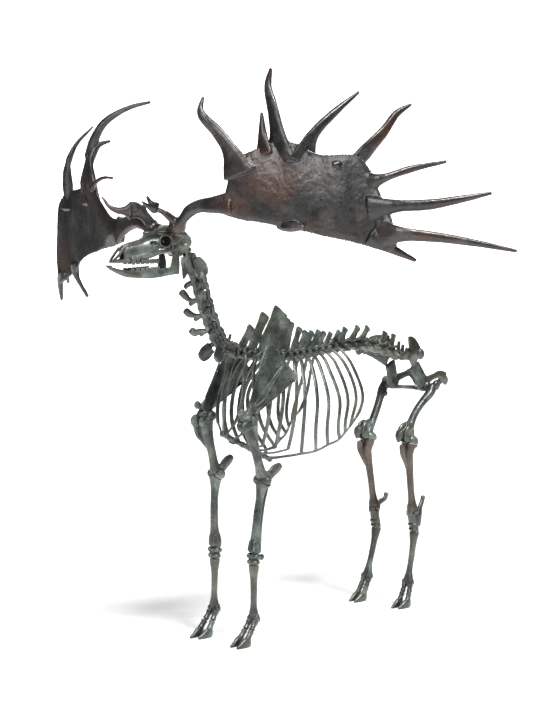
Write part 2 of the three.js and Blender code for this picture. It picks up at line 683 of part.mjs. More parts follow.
function sacrumSolid() {
  const path = [0, 0.33, 0.66, 1].map((t) => {
    const y = SACRUM_START_Y - 6 + (SACRUM_END_Y - SACRUM_START_Y) * t;
    return [0, y, along(y), 44 - 26 * t, 25 - 9 * t];
  });
  const parts = [tube(path)];
  for (let i = 0; i < 4; i += 1) {
    const y = SACRUM_START_Y + 24 + 36 * i;
    const z = along(y);
    parts.push(tube([[0, y, z + 10, 8, 16], [0, y + 10, z + 74 - 12 * i, 6, 14]], 6));
  }
  for (const s of [1, -1]) {
    parts.push(tube([
      [s * 20, 846, 1404, 30, 16], [s * 62, 842, 1424, 30, 22], [s * 78, 840, 1440, 26, 24],
    ], 6, [0, 1, 0]));
  }
  return keepAbove(join(parts), [0, SACRUM_START_Y, 0], [0, 1, 0]);
}

// Chest. Each rib is set by its top, three points on its curve and its lower end.
const RIB_KEYS = [
  {
    at: 1,
    points: [[46, -500, 1508], [66, -520, 1420], [84, -557, 1276], [74, -580, 1190], [58, -592, 1148]],
  },
  {
    at: 2,
    points: [[49, -427, 1495], [82, -470, 1420], [104, -488, 1276], [94, -506, 1165], [62, -542, 1092]],
  },
  {
    at: 3,
    points: [[52, -354, 1482], [94, -424, 1420], [118, -475, 1271], [108, -490, 1140], [68, -488, 1035]],
  },
  {
    at: 5,
    points: [[55, -221, 1479], [118, -279, 1410], [154, -318, 1262], [142, -336, 1111], [96, -316, 1004]],
  },
  {
    at: 6,
    points: [[56, -154, 1478], [140, -206, 1405], [192, -256, 1257], [168, -262, 1097], [110, -230, 989]],
  },
  {
    at: 7,
    points: [[56, -100, 1478], [148, -155, 1400], [206, -204, 1254], [184, -194, 1092], [126, -143, 957]],
  },
  {
    at: 8,
    points: [[56, -48, 1480], [155, -80, 1394], [216, -116, 1249], [196, -106, 1086], [150, -52, 966]],
  },
  {
    at: 10,
    points: [[56, 56, 1488], [160, 52, 1385], [220, 62, 1236], [210, 62, 1074], [194, 92, 1022]],
  },
  {
    at: 12,
    points: [[56, 164, 1498], [160, 208, 1374], [212, 208, 1225], [214, 172, 1130], [212, 158, 1086]],
  },
  {
    at: 13,
    points: [[56, 224, 1503], [160, 262, 1370], [205, 272, 1221], [208, 240, 1160], [208, 214, 1130]],
  },
];

function ribPoints(number) {
  let i = 1;
  while (RIB_KEYS[i].at < number) {
    i += 1;
  }
  const a = RIB_KEYS[i - 1];
  const b = RIB_KEYS[i];
  return a.points.map((p, k) => mix(p, b.points[k], (number - a.at) / (b.at - a.at)));
}

function sternumAt(t) {
  return mix(STERNUM_FRONT, STERNUM_REAR, t);
}

function ribSide(side) {
  const ribs = [];
  const front = [];
  const flip = (p) => [side * p[0], ...p.slice(1)];
  for (let k = 1; k <= 13; k += 1) {
    const [top, high, mid, low, end] = ribPoints(k);
    const width = 15 - 0.35 * Math.abs(k - 5);
    const neck = [top[0] - 24, top[1] + 6, top[2] - 4];
    const [x, y, z] = mix(top, high, 0.45);
    const arm = [x + 10, y, z + 14];
    const curve = new THREE.CatmullRomCurve3([neck, top, arm, high, mid, low, end].map(vec));
    const path = curve.getPoints(8).map((p, i) => [...flip(p.toArray()), i < 1 ? 9 : width, i < 1 ? 9 : 7]);
    ribs.push(tube(path, 5, [0, 1, 0]));
    if (k < 8) {
      const seat = sternumAt(Math.min((k - 1) / 7 + 0.04, 0.9));
      const bow = mix(end, seat, 0.5);
      front.push(tube([
        [...flip(end), 9, 7], [side * bow[0] * 1.05, bow[1], bow[2] - 8, 8, 7],
        [side * 16, seat[1], seat[2], 8, 6],
      ], 5, [0, 1, 0]));
    }
  }
  const rim = [0.02, 0.5, 0.94].map((t) => [side * (STERNUM_HALF + 4), ...sternumAt(t).slice(1), 7, 8]);
  front.push(tube(rim, 5, [0, 0, 1]));
  const arch = [[side * 26, ...sternumAt(0.94).slice(1), 8, 7]];
  for (let k = 7; k <= 13; k += 1) {
    arch.push([...flip(ribPoints(k)[4]), 8, 7]);
  }
  front.push(tube(arch, 5, [0, 0, 1]));
  const reach = (RIB_SPLIT_X + GAP) * Math.SQRT2;
  const spineRoom = tube([[0, -620, 1520, reach, 120], [0, 330, 1520, reach, 120]], 4);
  const cage = join([...ribs, ...front]).subtract(spineRoom);
  return keepAbove(cage, [side * (STERNUM_HALF + GAP), 0, 0], [side, 0, 0], 0);
}

function sternumSolid() {
  const path = [0, 0.12, 0.3, 0.55, 0.8, 1].map((t) => [...sternumAt(t), 27, t < 0.05 || t > 0.95 ? 10 : 17]);
  const solid = tube(path, 6);
  const half = keepAbove(solid, [STERNUM_HALF, 0, 0], [-1, 0, 0], 0);
  return keepAbove(half, [-STERNUM_HALF, 0, 0], [1, 0, 0], 0);
}

function buildTrunk() {
  addBone("thoracic_spine", thoracicSpine(), "bone");
  addBone("lumbar_spine", lumbarSpine(), "bone");
  addBone("sternum", sternumSolid(), "bone");
  addBone("ribs_left", ribSide(1), "bone");
  addBone("ribs_right", ribSide(-1), "bone");
}

// Shoulder blade: a fan-shaped plate with a ridge on its outer face.
function scapulaSolid(legs, s) {
  const socket = [legs.top[0], legs.top[1] - 6, legs.top[2] + 12];
  const crown = [s * 152, -300, 1466];
  const wide = [-0.09 * s, -0.7, 0.71];
  const extra = s < 0 ? 26 : 0;
  const spans = [
    [0, 36, 36, 26], [0.07, 33, 38, 22], [0.16, 30, 38, 15], [0.28, 44, 56, 10], [0.5, 72, 90, 6],
    [0.78, 102, 134, 5], [0.95, 116, 146, 6], [1, 104, 130, 5],
  ];
  const blade = plate(spans.map(([t, rear, front, thick]) => {
    const c = mix(socket, crown, t);
    const edge = (reach) => c.map((value, i) => value + reach * wide[i]);
    return [edge(-rear), c, edge(front + extra * (1 - t)), thick];
  }), [s, -0.06, 0.1], 4);
  const ridge = [[0.2, 16, 6], [0.27, 34, 7], [0.4, 32, 5], [0.6, 24, 5], [0.8, 15, 5], [0.95, 5, 5]];
  const crest = tube(ridge.map(([t, high, thick]) => {
    const c = mix(socket, crown, t);
    return [c[0] + s * high * 0.55, c[1] - 14 * (1 - t) + 4, c[2] + 14 * (1 - t), high * 0.7, thick];
  }), 6, [1, 0, 0]);
  const collar = blob(socket, [36, 42, 28], true);
  const reach = 50 + extra;
  const hook = blob([socket[0] - s * 8, socket[1] - 0.75 * reach, socket[2] + 0.68 * reach], [15, 22, 22]);
  return join([blade, crest, collar, hook], FINE_EVEN_OUT);
}

// Long bones, drawn from the upper joint (0, 0, 0) to the lower joint (0, 0, -length).
function humerusSolid(length) {
  return join([
    tube([
      [4, 4, -22, 42, 44], [4, -2, -70, 31, 40], [2, -2, -130, 25, 30], [0, 0, -200, 22, 24],
      [0, 0, -262, 25, 24], [0, 0, -312, 38, 26],
    ]),
    blob([-4, 24, -8], [40, 40, 34]),
    blob([22, -46, -12], [23, 38, 36]),
    blob([-20, -40, -16], [18, 26, 30]),
    tube([[30, -44, -30, 12, 26], [34, -34, -90, 11, 24], [30, -16, -140, 8, 14], [24, -4, -180, 6, 8]]),
    tube([
      [-40, 0, -length + 4, 27], [-14, 0, -length + 4, 25],
      [0, 0, -length + 4, 20], [14, 0, -length + 4, 23],
      [38, 0, -length + 4, 23],
    ], 8, [0, 1, 0]),
    tube([[-30, 24, -length + 42, 9, 13], [-30, 28, -length + 12, 9, 12]]),
    tube([[28, 22, -length + 42, 9, 13], [28, 26, -length + 12, 8, 11]]),
  ]);
}

function radiusUlnaSolid(length) {
  return join([
    tube([
      [0, -4, 4, 42, 26], [0, -4, -22, 40, 24], [0, -8, -60, 29, 18], [0, -12, -180, 25, 17],
      [0, -8, -290, 28, 18], [0, 0, -length + 26, 40, 26], [0, 0, -length - 2, 38, 24],
    ]),
    tube([
      [0, 46, 46, 13, 30], [0, 38, 6, 13, 18], [4, 28, -34, 12, 13], [8, 16, -120, 9, 9],
      [12, 12, -230, 8, 8], [18, 14, -length + 30, 10, 12],
    ]),
    tube([[0, 44, 30, 14, 28], [0, 76, 60, 13, 30], [0, 100, 76, 16, 26], [0, 112, 86, 18, 20]]),
    blob([34, 2, -14], [16, 20, 14]),
  ]);
}

function carpusSolid(height) {
  const row = (z, count, radius, tall) => {
    const stones = [];
    for (let i = 0; i < count; i += 1) {
      stones.push(blob([(i - (count - 1) / 2) * radius * 1.45, -2, z], [radius, 27, tall]));
    }
    return stones;
  };
  return join([
    tube([[0, 2, 6, 32, 22], [0, 2, -height / 2, 34, 20], [0, 2, -height - 6, 32, 22]], 6),
    ...row(-height * 0.27, 3, 18, 18),
    ...row(-height * 0.75, 2, 24, 17),
    blob([20, 32, -height * 0.3], [11, 20, 17]),
  ]);
}

function cannonSolid(length, back) {
  return join([
    tube([
      [0, 2, 4, 31, 24], [0, 2, -18, 30, 23], [0, back, -60, 22, 19], [0, back, -length * 0.5, 18, 17],
      [0, 0, -length + 60, 21, 15], [0, 0, -length + 22, 31, 17], [0, 0, -length + 2, 30, 15],
    ]),
    tube([[-30, 0, -length, 20], [-6, 0, -length, 21]], 8, [0, 1, 0]),
    tube([[6, 0, -length, 21], [30, 0, -length, 20]], 8, [0, 1, 0]),
    blob([0, 20, -length + 10], [24, 10, 18]),
  ]);
}

function femurSolid(length, neck, bow) {
  return join([
    blob([-neck, 0, 0], [29, 29, 29], true),
    tube([[-neck + 6, 0, -4, 18, 20], [-neck / 3, 4, -12, 20, 24], [10, 6, -26, 26, 26]], 6, [0, 1, 0]),
    tube([
      [8, 8, 6, 17, 30], [6, 2, -50, 27, 28], [0, bow * 0.5, -110, 23, 24], [-6, bow, -200, 22, 23],
      [-4, bow * 0.9, -280, 26, 26], [0, -6, -340, 38, 34],
    ]),
    blob([16, 12, 14], [20, 30, 32]),
    blob([-22, 8, -70], [12, 14, 18]),
    tube([
      [-20, -36, -length + 84, 13, 18], [-22, -58, -length + 40, 15, 26], [-24, -52, -length + 4, 15, 26],
      [-26, -24, -length - 12, 14, 22],
    ]),
    tube([
      [20, -34, -length + 80, 12, 16], [22, -50, -length + 40, 13, 24], [23, -44, -length + 4, 13, 24],
      [24, -22, -length - 12, 13, 20],
    ]),
    tube([[0, -30, -length + 70, 14, 20], [0, -38, -length + 20, 16, 20]]),
    blob([-28, 20, -length + 8], [22, 40, 33], true),
    blob([28, 20, -length + 8], [22, 40, 33], true),
  ]);
}

function patellaSolid() {
  return tube([[0, 0, 36, 14, 9], [0, -2, 18, 25, 18], [0, -2, -6, 23, 18], [0, 4, -34, 9, 8]]);
}

function tibiaSolid(length) {
  return join([
    tube([
      [0, 14, 2, 50, 36], [0, 12, -28, 46, 34], [2, 0, -70, 31, 30],
      [2, 0, -140, 23, 25], [0, 0, -250, 20, 20],
      [0, 0, -length + 60, 24, 20], [0, 0, -length + 22, 34, 26], [0, 0, -length, 32, 24],
    ]),
    tube([[4, -50, -18, 15, 22], [6, -54, -52, 11, 24], [6, -42, -100, 8, 18], [4, -24, -160, 6, 10]]),
    blob([42, 20, -26], [12, 14, 18]),
  ]);
}

function tarsusSolid(height, heel) {
  const [x, y, z] = heel;
  return join([
    tube([
      [-2, -6, 12, 26, 24], [-2, -8, -24, 27, 24], [0, -2, -height * 0.55, 30, 24],
      [0, 0, -height - 6, 30, 24],
    ]),
    tube([[-16, -12, 8, 11, 22], [-16, -16, -16, 12, 20]]),
    tube([[12, -12, 8, 11, 22], [12, -16, -16, 12, 20]]),
    tube([
      [14, 22, -height * 0.72, 14, 16], [16, 36, -30, 13, 22],
      [12, 54, 8, 11, 19], [x, y - 10, z - 18, 12, 15],
      [x, y, z, 15, 15],
    ]),
    blob([0, -12, -height * 0.62], [31, 22, 14]),
  ]);
}

// Toe: two short bones and a hoof that stands on the floor with a flat underside.
function toeSolid(legs, toe) {
  const outward = Math.sign(toe[0] - legs.fetlock[0]);
  const [x0, y0, z0] = [legs.fetlock[0] + outward * 18, legs.fetlock[1], legs.fetlock[2]];
  const tip = [toe[0], toe[1], 0];
  const heel = [toe[0] + outward * 3, toe[1] + 84, 0];
  const joint1 = [x0 + (heel[0] - x0) * 0.55, y0 + (heel[1] - y0) * 0.62, z0 * 0.6];
  const joint2 = [x0 + (heel[0] - x0) * 0.9, heel[1] - 6, z0 * 0.3];
  const start = [x0, y0, z0];
  const first = tube([
    [...start, 17, 22], [...mix(start, joint1, 0.3), 17, 21],
    [...mix(start, joint1, 0.65), 13, 15], [...joint1, 16, 18],
  ]);
  const second = tube([[...joint1, 16, 18], [...mix(joint1, joint2, 0.5), 13, 16], [...joint2, 16, 19]]);
  const hoof = tube([
    [heel[0], heel[1] + 4, 24, 14, 28], [heel[0], heel[1] - 12, 24, 17, 30],
    [...mix([heel[0], heel[1], 16], [tip[0], tip[1], 8], 0.55), 14, 24], [tip[0], tip[1] + 4, 6, 8, 10],
  ]);
  const knuckle = blob(joint1, [16, 17, 16]);
  return keepAbove(join([first, knuckle, second, hoof]), [0, 0, 0], [0, 0, 1], 0);
}

function distance(a, b) {
  return vec(a).distanceTo(vec(b));
}

function segment(shape, upper, lower, s) {
  return placed(shape(distance(upper, lower)), boneFrame(upper, lower, s));
}

function hinge(upper, joint, lower) {
  return direction(upper, joint).add(direction(joint, lower)).normalize().toArray();
}

// Cuts a neighbour out of a bone, made a little larger about the joint centre to leave a gap all round.
function cleared(solid, neighbour, centre) {
  const grown = neighbour.translate(opposite(centre)).scale(SOCKET_GROWTH).translate(centre);
  return solid.subtract(neighbour.add(grown));
}

// The same with the neighbour's convex outline, for a smooth socket.
function socketed(solid, neighbour, centre) {
  return cleared(solid, neighbour.hull(), centre);
}

function buildToes(legs, s, label, slope) {
  const seat = fetlockSeat(legs);
  legs.toes.forEach((toe, i) => {
    const inner = Math.abs(toe[0]) < Math.abs(legs.fetlock[0]);
    const away = [Math.sign(toe[0] - legs.fetlock[0]), 0, 0];
    const solid = keepAbove(toeSolid(legs, toe), seat, slope);
    addBone("toe_" + label + (inner ? "_inner" : "_outer"), keepAbove(solid, legs.fetlock, away), "bone");
  });
}

// The toes meet the cannon bone on a plane a little below the fetlock joint.
function fetlockSeat(legs) {
  return [legs.fetlock[0], legs.fetlock[1], legs.fetlock[2] - 12];
}

function opposite(v) {
  return v.map((value) => -value);
}

function frontLeg(legs, s, side) {
  const humerus = segment(humerusSolid, legs.top, legs.bend, s);
  const forearm = segment(radiusUlnaSolid, legs.bend, legs.low, s);
  const carpus = segment(carpusSolid, legs.low, legs.cannon, s);
  const cannon = segment((length) => cannonSolid(length, 2), legs.cannon, legs.fetlock, s);
  const wrist = hinge(legs.bend, legs.low, legs.cannon);
  const below = hinge(legs.low, legs.cannon, legs.fetlock);
  const slope = [0, -0.42, -0.91];
  addBone("scapula_" + side, socketed(scapulaSolid(legs, s), humerus, legs.top), "bone");
  addBone("humerus_" + side, humerus, "bone");
  const elbow = socketed(forearm, humerus, legs.bend);
  addBone("radius_ulna_" + side, keepAbove(elbow, legs.low, opposite(wrist)), "bone");
  const block = keepAbove(carpus, legs.low, wrist);
  addBone("carpus_" + side, keepAbove(block, legs.cannon, opposite(below)), "bone");
  const shaft = keepAbove(cannon, legs.cannon, below);
  addBone("metacarpal_" + side, keepAbove(shaft, fetlockSeat(legs), opposite(slope)), "bone");
  buildToes(legs, s, "front_" + side, slope);
}

function hindLeg(legs, s, side, pelvis, { bow, heel, kneecap }) {
  const neck = 44;
  const hip = [legs.top[0] + s * neck, legs.top[1], legs.top[2]];
  const femur = segment((length) => femurSolid(length, neck, bow), hip, legs.bend, s);
  const tibia = segment(tibiaSolid, legs.bend, legs.low, s);
  const tarsus = segment((height) => tarsusSolid(height, heel), legs.low, legs.cannon, s);
  const cannon = segment((length) => cannonSolid(length, 4), legs.cannon, legs.fetlock, s);
  const knee = hinge(hip, legs.bend, legs.low);
  const kneeSeat = [legs.bend[0], legs.bend[1], legs.bend[2] - 14];
  const below = hinge(legs.low, legs.cannon, legs.fetlock);
  const slope = [0, -0.42, -0.91];
  const [x, y, z] = legs.bend;
  const cap = patellaSolid().rotate([-20, 0, 0]).translate([x, y - kneecap, z + 34]);
  addBone("femur_" + side, keepAbove(femur, kneeSeat, opposite(knee)), "bone");
  addBone("patella_" + side, cleared(cap, femur, [x, y - 56, z + 34]), "bone");
  const shin = keepAbove(tibia, kneeSeat, knee);
  addBone("tibia_" + side, shin, "shin");
  const hock = socketed(tarsus, shin, legs.low);
  addBone("tarsus_" + side, keepAbove(hock, legs.cannon, opposite(below)), "bone");
  const shaft = keepAbove(cannon, legs.cannon, below);
  addBone("metatarsal_" + side, keepAbove(shaft, fetlockSeat(legs), opposite(slope)), "bone");
  buildToes(legs, s, "hind_" + side, slope);
  return socketed(pelvis, femur, legs.top);
}

function pelvisSolid() {
  const parts = [];
  for (const s of [1, -1]) {
    const at = (x, y, z, ...sizes) => [s * x, y, z, ...sizes];
    parts.push(plate([
      [at(92, 868, 1318), at(86, 860, 1344), at(84, 846, 1366), 12],
      [at(112, 838, 1352), at(90, 832, 1378), at(66, 846, 1402), 10],
      [at(172, 796, 1394), at(124, 806, 1424), at(62, 846, 1452), 9],
      [at(222, 752, 1425), at(150, 792, 1480), at(58, 842, 1500), 11],
      [at(228, 762, 1462), at(150, 800, 1522), at(60, 838, 1530), 14],
    ], [s * 0.3, -0.8, 0.45], 4));
    parts.push(blob(at(226, 752, 1442), [18, 28, 32], true));
    parts.push(tube([
      at(88, 868, 1362, 14, 46), at(98, 893, 1318, 19, 44),
      at(112, 920, 1268, 24, 44), at(112, 966, 1272, 17, 28),
    ]));
    parts.push(blob(at(112, 922, 1252), [30, 46, 42], true));
    parts.push(tube([
      at(112, 950, 1272, 13, 26), at(106, 1030, 1290, 10, 20), at(108, 1075, 1298, 12, 26),
      at(110, 1118, 1280, 16, 34),
    ]));
    parts.push(blob(at(110, 1130, 1262), [16, 20, 30]));
    parts.push(tube([
      at(108, 1112, 1272, 15, 20), at(72, 1092, 1238, 12, 18),
      at(22, 1060, 1222, 16, 12), at(0, 1050, 1218, 16, 12),
    ], 6, [0, 1, 0]));
    const brim = [at(98, 918, 1226, 16, 14), at(56, 930, 1226, 13, 12), at(0, 944, 1227, 16, 13)];
    parts.push(tube(brim, 6, [0, 1, 0]));
    parts.push(tube([at(16, 936, 1227, 17, 12), at(16, 1060, 1220, 17, 12)]));
  }
  return join(parts);
}

function buildLegs() {
  const sacrum = sacrumSolid();
  let pelvis = socketed(pelvisSolid(), sacrum, [0, 846, 1404]);
  frontLeg(LEFT_FRONT, 1, "left");
  frontLeg(RIGHT_FRONT, -1, "right");
  pelvis = hindLeg(LEFT_HIND, 1, "left", pelvis, { bow: -28, heel: [6, 98, 62], kneecap: 71 });
  pelvis = hindLeg(RIGHT_HIND, -1, "right", pelvis, { bow: 0, heel: [6, 124, 48], kneecap: 71 });
  addBone("sacrum", sacrum, "bone");
  addBone("pelvis", pelvis, "bone");
}

buildHead();
buildAntler(leftAntler());
buildAntler(rightAntler());
buildNeck();
buildTrunk();
buildLegs();

const group = new THREE.Group();
group.name = "giant_deer_skeleton";
group.add(...meshes);
group.position.set(-BOX_MIDDLE[0], -BOX_MIDDLE[1], 0);

export default group;
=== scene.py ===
import math

import bpy
import numpy as np
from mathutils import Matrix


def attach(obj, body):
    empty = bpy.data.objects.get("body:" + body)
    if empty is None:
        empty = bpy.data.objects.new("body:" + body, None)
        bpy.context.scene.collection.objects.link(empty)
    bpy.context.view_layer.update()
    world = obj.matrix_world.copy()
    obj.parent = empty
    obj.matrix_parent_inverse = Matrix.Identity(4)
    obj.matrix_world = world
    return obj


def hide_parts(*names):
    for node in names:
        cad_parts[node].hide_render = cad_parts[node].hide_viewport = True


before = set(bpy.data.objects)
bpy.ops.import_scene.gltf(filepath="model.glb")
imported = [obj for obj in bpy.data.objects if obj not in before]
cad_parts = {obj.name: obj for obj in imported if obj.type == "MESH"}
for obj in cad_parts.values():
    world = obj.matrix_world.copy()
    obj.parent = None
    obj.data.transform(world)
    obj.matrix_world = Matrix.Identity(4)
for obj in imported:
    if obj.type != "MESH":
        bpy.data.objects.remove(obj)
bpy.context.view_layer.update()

# Skeleton of a giant deer. Bones are drawn in millimetres in the animal's own frame: it faces -Y, its left
# is +X and the floor is z = 0. Each finished mesh is moved by BOX_MIDDLE and scaled to metres, which is the
# row frame.
BOX_MIDDLE = np.array([126.5, -107.2, 0.0])
MM = 0.001

# Fineness of the drawn parts: points round a tube, and steps between two rows of a path.
SIDES = 16
PER_GAP = 5

# Tines: greatest half thickness, flare of the width at the palm, and thickness as a share of the width.
TINE_THICKNESS = 18
ROOT_FLARE = 1.6
TINE_DEPTH = 0.8

# Relief of every bone's surface: how far its lumps and its grain rise, in millimetres.
RELIEF_HEIGHT = {"swell": 1.6, "grain": 0.7}

# The camera stands this far from the animal, turned and tilted as the photograph was taken.
CAMERA_TURN = 42.16
CAMERA_DOWN = 4.85
CAMERA_HEIGHT = 2380.0
CAMERA_DISTANCE = 11045.0
CAMERA_SIDE = -119.0
FOCAL_PIXELS = 2050.0
IMAGE_HEIGHT = 720.0
SENSOR = 36.0

# Studio: sheets and places in metres, angles in degrees, and strengths that turn floor and backdrop white.
STAGE_WIDTH = 12
FLOOR_DEPTH = 24
FLOOR_AHEAD = 2
FLOOR_GLOW = 0.15
BACKDROP_AHEAD = 14
BACKDROP_HEIGHT = 14
BACKDROP_GLOW = 0.85
SKY_STRENGTH = 0.16
SUN_STRENGTH = 3.9
SUN_WIDTH = 16
SUN_TILT = 35
PANEL_POWER = 150
PANEL_SIZE = 2.5
PANEL_PLACE = (2.6, -5.6, 4.4)
PANEL_TILT = 67
PANEL_TURN = 25

# Joint centres of the four legs, from the shoulder or hip down. The hooves' tips stand on the floor.
LEGS = {
    "front_left": {
        "top": (165, -601, 1175), "bend": (160, -482, 850), "low": (150, -538, 477),
        "cannon": (150, -545, 415),
        "fetlock": (152, -546, 132), "toes": ((132, -700), (184, -706)),
    },
    "front_right": {
        "top": (-162, -584, 1175), "bend": (-160, -502, 857), "low": (-148, -521, 474),
        "cannon": (-148, -528, 411),
        "fetlock": (-150, -530, 142), "toes": ((-126, -672), (-176, -684)),
    },
    "hind_left": {
        "top": (125, 928, 1246), "bend": (160, 718, 952), "low": (147, 786, 538), "cannon": (147, 802, 424),
        "fetlock": (145, 750, 137), "toes": ((126, 628), (170, 636)),
    },
    "hind_right": {
        "top": (-125, 928, 1246), "bend": (-152, 728, 947), "low": (-140, 794, 530),
        "cannon": (-140, 812, 414),
        "fetlock": (-143, 733, 138), "toes": ((-134, 612), (-178, 618)),
    },
}

# The spine: y and z of the line through the vertebral bodies, from the neck to the rump.
SPINE_LINE = ((-545, 1512), (-477, 1499), (-315, 1473), (-77, 1464), (136, 1478), (329, 1494), (536, 1493),
              (767, 1435), (960, 1392))
THORACIC_Y = (-490, -410, -332, -258, -190, -132, -78, -26, 26, 78, 131, 186, 246)
THORACIC_TIP_HEIGHT = (142, 216, 255, 232, 206, 186, 155, 130, 123, 121, 108, 96, 96)
THORACIC_TIP_LEAN = (96, 121, 152, 118, 74, 50, 64, 62, 59, 65, 58, 57, 68)
LUMBAR_FIRST_Y = 320
LUMBAR_PITCH = 88
LUMBAR_TIP_HEIGHT = (104, 106, 100, 44, 98, 102)
LUMBAR_TIP_LEAN = (48, 68, 66, 14, 44, 34)
SACRUM_START_Y = 806
SACRUM_END_Y = 975
STERNUM_FRONT = (0, -624, 1098)
STERNUM_REAR = (0, -250, 926)

# Neck joints from the skull down, the last one at the chest.
NECK = ((-8, -875, 2047), (-4, -836, 1939), (0, -797, 1836), (0, -768, 1758), (0, -728, 1677),
        (0, -684, 1600),
        (0, -628, 1534), (0, -545, 1512))
HEAD_YAW = 7
SKULL_SLOPE = (0, 0.72, -0.69)
CHEST_SLOPE = (0, 0.97, -0.25)

# Neck vertebrae from the atlas down: height of the spine, reach of the side processes, and for the third to
# the fifth how far the front knobs hang down and reach ahead.
CERVICAL_SPINE_HEIGHT = (0, 84, 72, 68, 70, 74, 92)
CERVICAL_SPREAD = (0, 52, 52, 52, 54, 56, 56)
NECK_KNOBS = ((42, 18), (48, 4), (57, -12))

# The cut between cannon bone and toes, the knee and its cap, and what differs between the hind legs.
FETLOCK_SLOPE = (0, -0.42, -0.91)
FETLOCK_DROP = 12
FEMUR_NECK = 44
FEMUR_BOW = {"left": -28, "right": 0}
HEEL = {"left": (6, 98, 62), "right": (6, 124, 48)}
KNEE_DROP = 14
PATELLA_AHEAD = 71
PATELLA_UP = 34
PATELLA_TILT = 20

# Chest: the top, three points on the curve and the lower end of the ribs that set the shape.
RIB_KEYS = (
    (1, (46, -500, 1508), (66, -520, 1420), (84, -557, 1276), (74, -580, 1190), (58, -592, 1148)),
    (2, (49, -427, 1495), (82, -470, 1420), (104, -488, 1276), (94, -506, 1165), (62, -542, 1092)),
    (3, (52, -354, 1482), (94, -424, 1420), (118, -475, 1271), (108, -490, 1140), (68, -488, 1035)),
    (5, (55, -221, 1479), (118, -279, 1410), (154, -318, 1262), (142, -336, 1111), (96, -316, 1004)),
    (6, (56, -154, 1478), (140, -206, 1405), (192, -256, 1257), (168, -262, 1097), (110, -230, 989)),
    (7, (56, -100, 1478), (148, -155, 1400), (206, -204, 1254), (184, -194, 1092), (126, -143, 957)),
    (8, (56, -48, 1480), (155, -80, 1394), (216, -116, 1249), (196, -106, 1086), (150, -52, 966)),
    (10, (56, 56, 1488), (160, 52, 1385), (220, 62, 1236), (210, 62, 1074), (194, 92, 1022)),
    (12, (56, 164, 1498), (160, 208, 1374), (212, 208, 1225), (214, 172, 1130), (212, 158, 1086)),
    (13, (56, 224, 1503), (160, 262, 1370), (205, 272, 1221), (208, 240, 1160), (208, 214, 1130)),
)


# Vectors and frames
def vec(*p):
    return np.array(p, float)


def unit(v):
    v = np.asarray(v, float)
    return v / np.linalg.norm(v)


def mix(a, b, t):
    return tuple(x + (y - x) * t for x, y in zip(a, b))


def along(y):
    ys, zs = zip(*SPINE_LINE)
    return float(np.interp(y, ys, zs))


def on_side(s, axis):
    """A function that puts a row drawn for the left on side s: axis says which number runs across."""
    def at(*row):
        return (*row[:axis], s * row[axis], *row[axis + 1:])
    return at


def placed(parts, axes):
    """Parts drawn in a bone's own frame, moved to where the bone lies: axes is (origin, x, y, z)."""
    origin, x, y, z = axes
    basis = np.array([x, y, z], float)
    return [(points @ basis + np.asarray(origin, float), faces) for points, faces in parts]


def bone_frame(upper, lower, side):
    """z runs up from the lower joint, x points away from the body and y to the back."""
    up = unit(np.subtract(upper, lower))
    out = vec(side, 0, 0)
    out = unit(out - up * out.dot(up))
    return upper, out, np.cross(up, out) * side, up


def head_frame():
    """x runs forward from the neck joint at the back of the skull, y to the left, z up."""
    yaw = math.radians(HEAD_YAW)
    return NECK[0], (-math.sin(yaw), -math.cos(yaw), 0), (math.cos(yaw), -math.sin(yaw), 0), (0, 0, 1)


# Closed surfaces, each a pair of points and faces
def smooth_rows(rows, per_gap=PER_GAP):
    """Rows of numbers with cubic steps put between them; the first three are a place, the rest are sizes."""
    rows = np.array(rows, float)
    gaps = np.maximum(np.linalg.norm(np.diff(rows[:, :3], axis=0), axis=1), 1e-6)[:, None]
    slopes = np.diff(rows, axis=0) / gaps
    inner = (slopes[:-1] * gaps[1:] + slopes[1:] * gaps[:-1]) / (gaps[:-1] + gaps[1:])
    turns = slopes[:-1, 3:] * slopes[1:, 3:] <= 0
    inner[:, 3:][turns] = 0
    tangents = np.vstack([slopes[:1], inner, slopes[-1:]])
    out = []
    for i in range(len(rows) - 1):
        for k in range(per_gap):
            t = k / per_gap
            h = (2 * t**3 - 3 * t**2 + 1, t**3 - 2 * t**2 + t, 3 * t**2 - 2 * t**3, t**3 - t**2)
            leaving = h[0] * rows[i] + h[1] * gaps[i] * tangents[i]
            out.append(leaving + h[2] * rows[i + 1] + h[3] * gaps[i] * tangents[i + 1])
    out.append(rows[-1])
    return np.array(out)


def loft(rings, start_tip, end_tip):
    """Closed skin over rings of as many points each, drawn to a tip at both ends."""
    count, sides = len(rings), len(rings[0])
    points = np.vstack([np.vstack(rings), start_tip, end_tip])
    faces = []
    for i in range(count - 1):
        for k in range(sides):
            a = i * sides + k
            b = i * sides + (k + 1) % sides
            faces.append((a, b, b + sides, a + sides))
    start, last = count * sides, (count - 1) * sides
    for k in range(sides):
        n = (k + 1) % sides
        faces.append((start, n, k))
        faces.append((start + 1, last + k, last + n))
    return points, faces


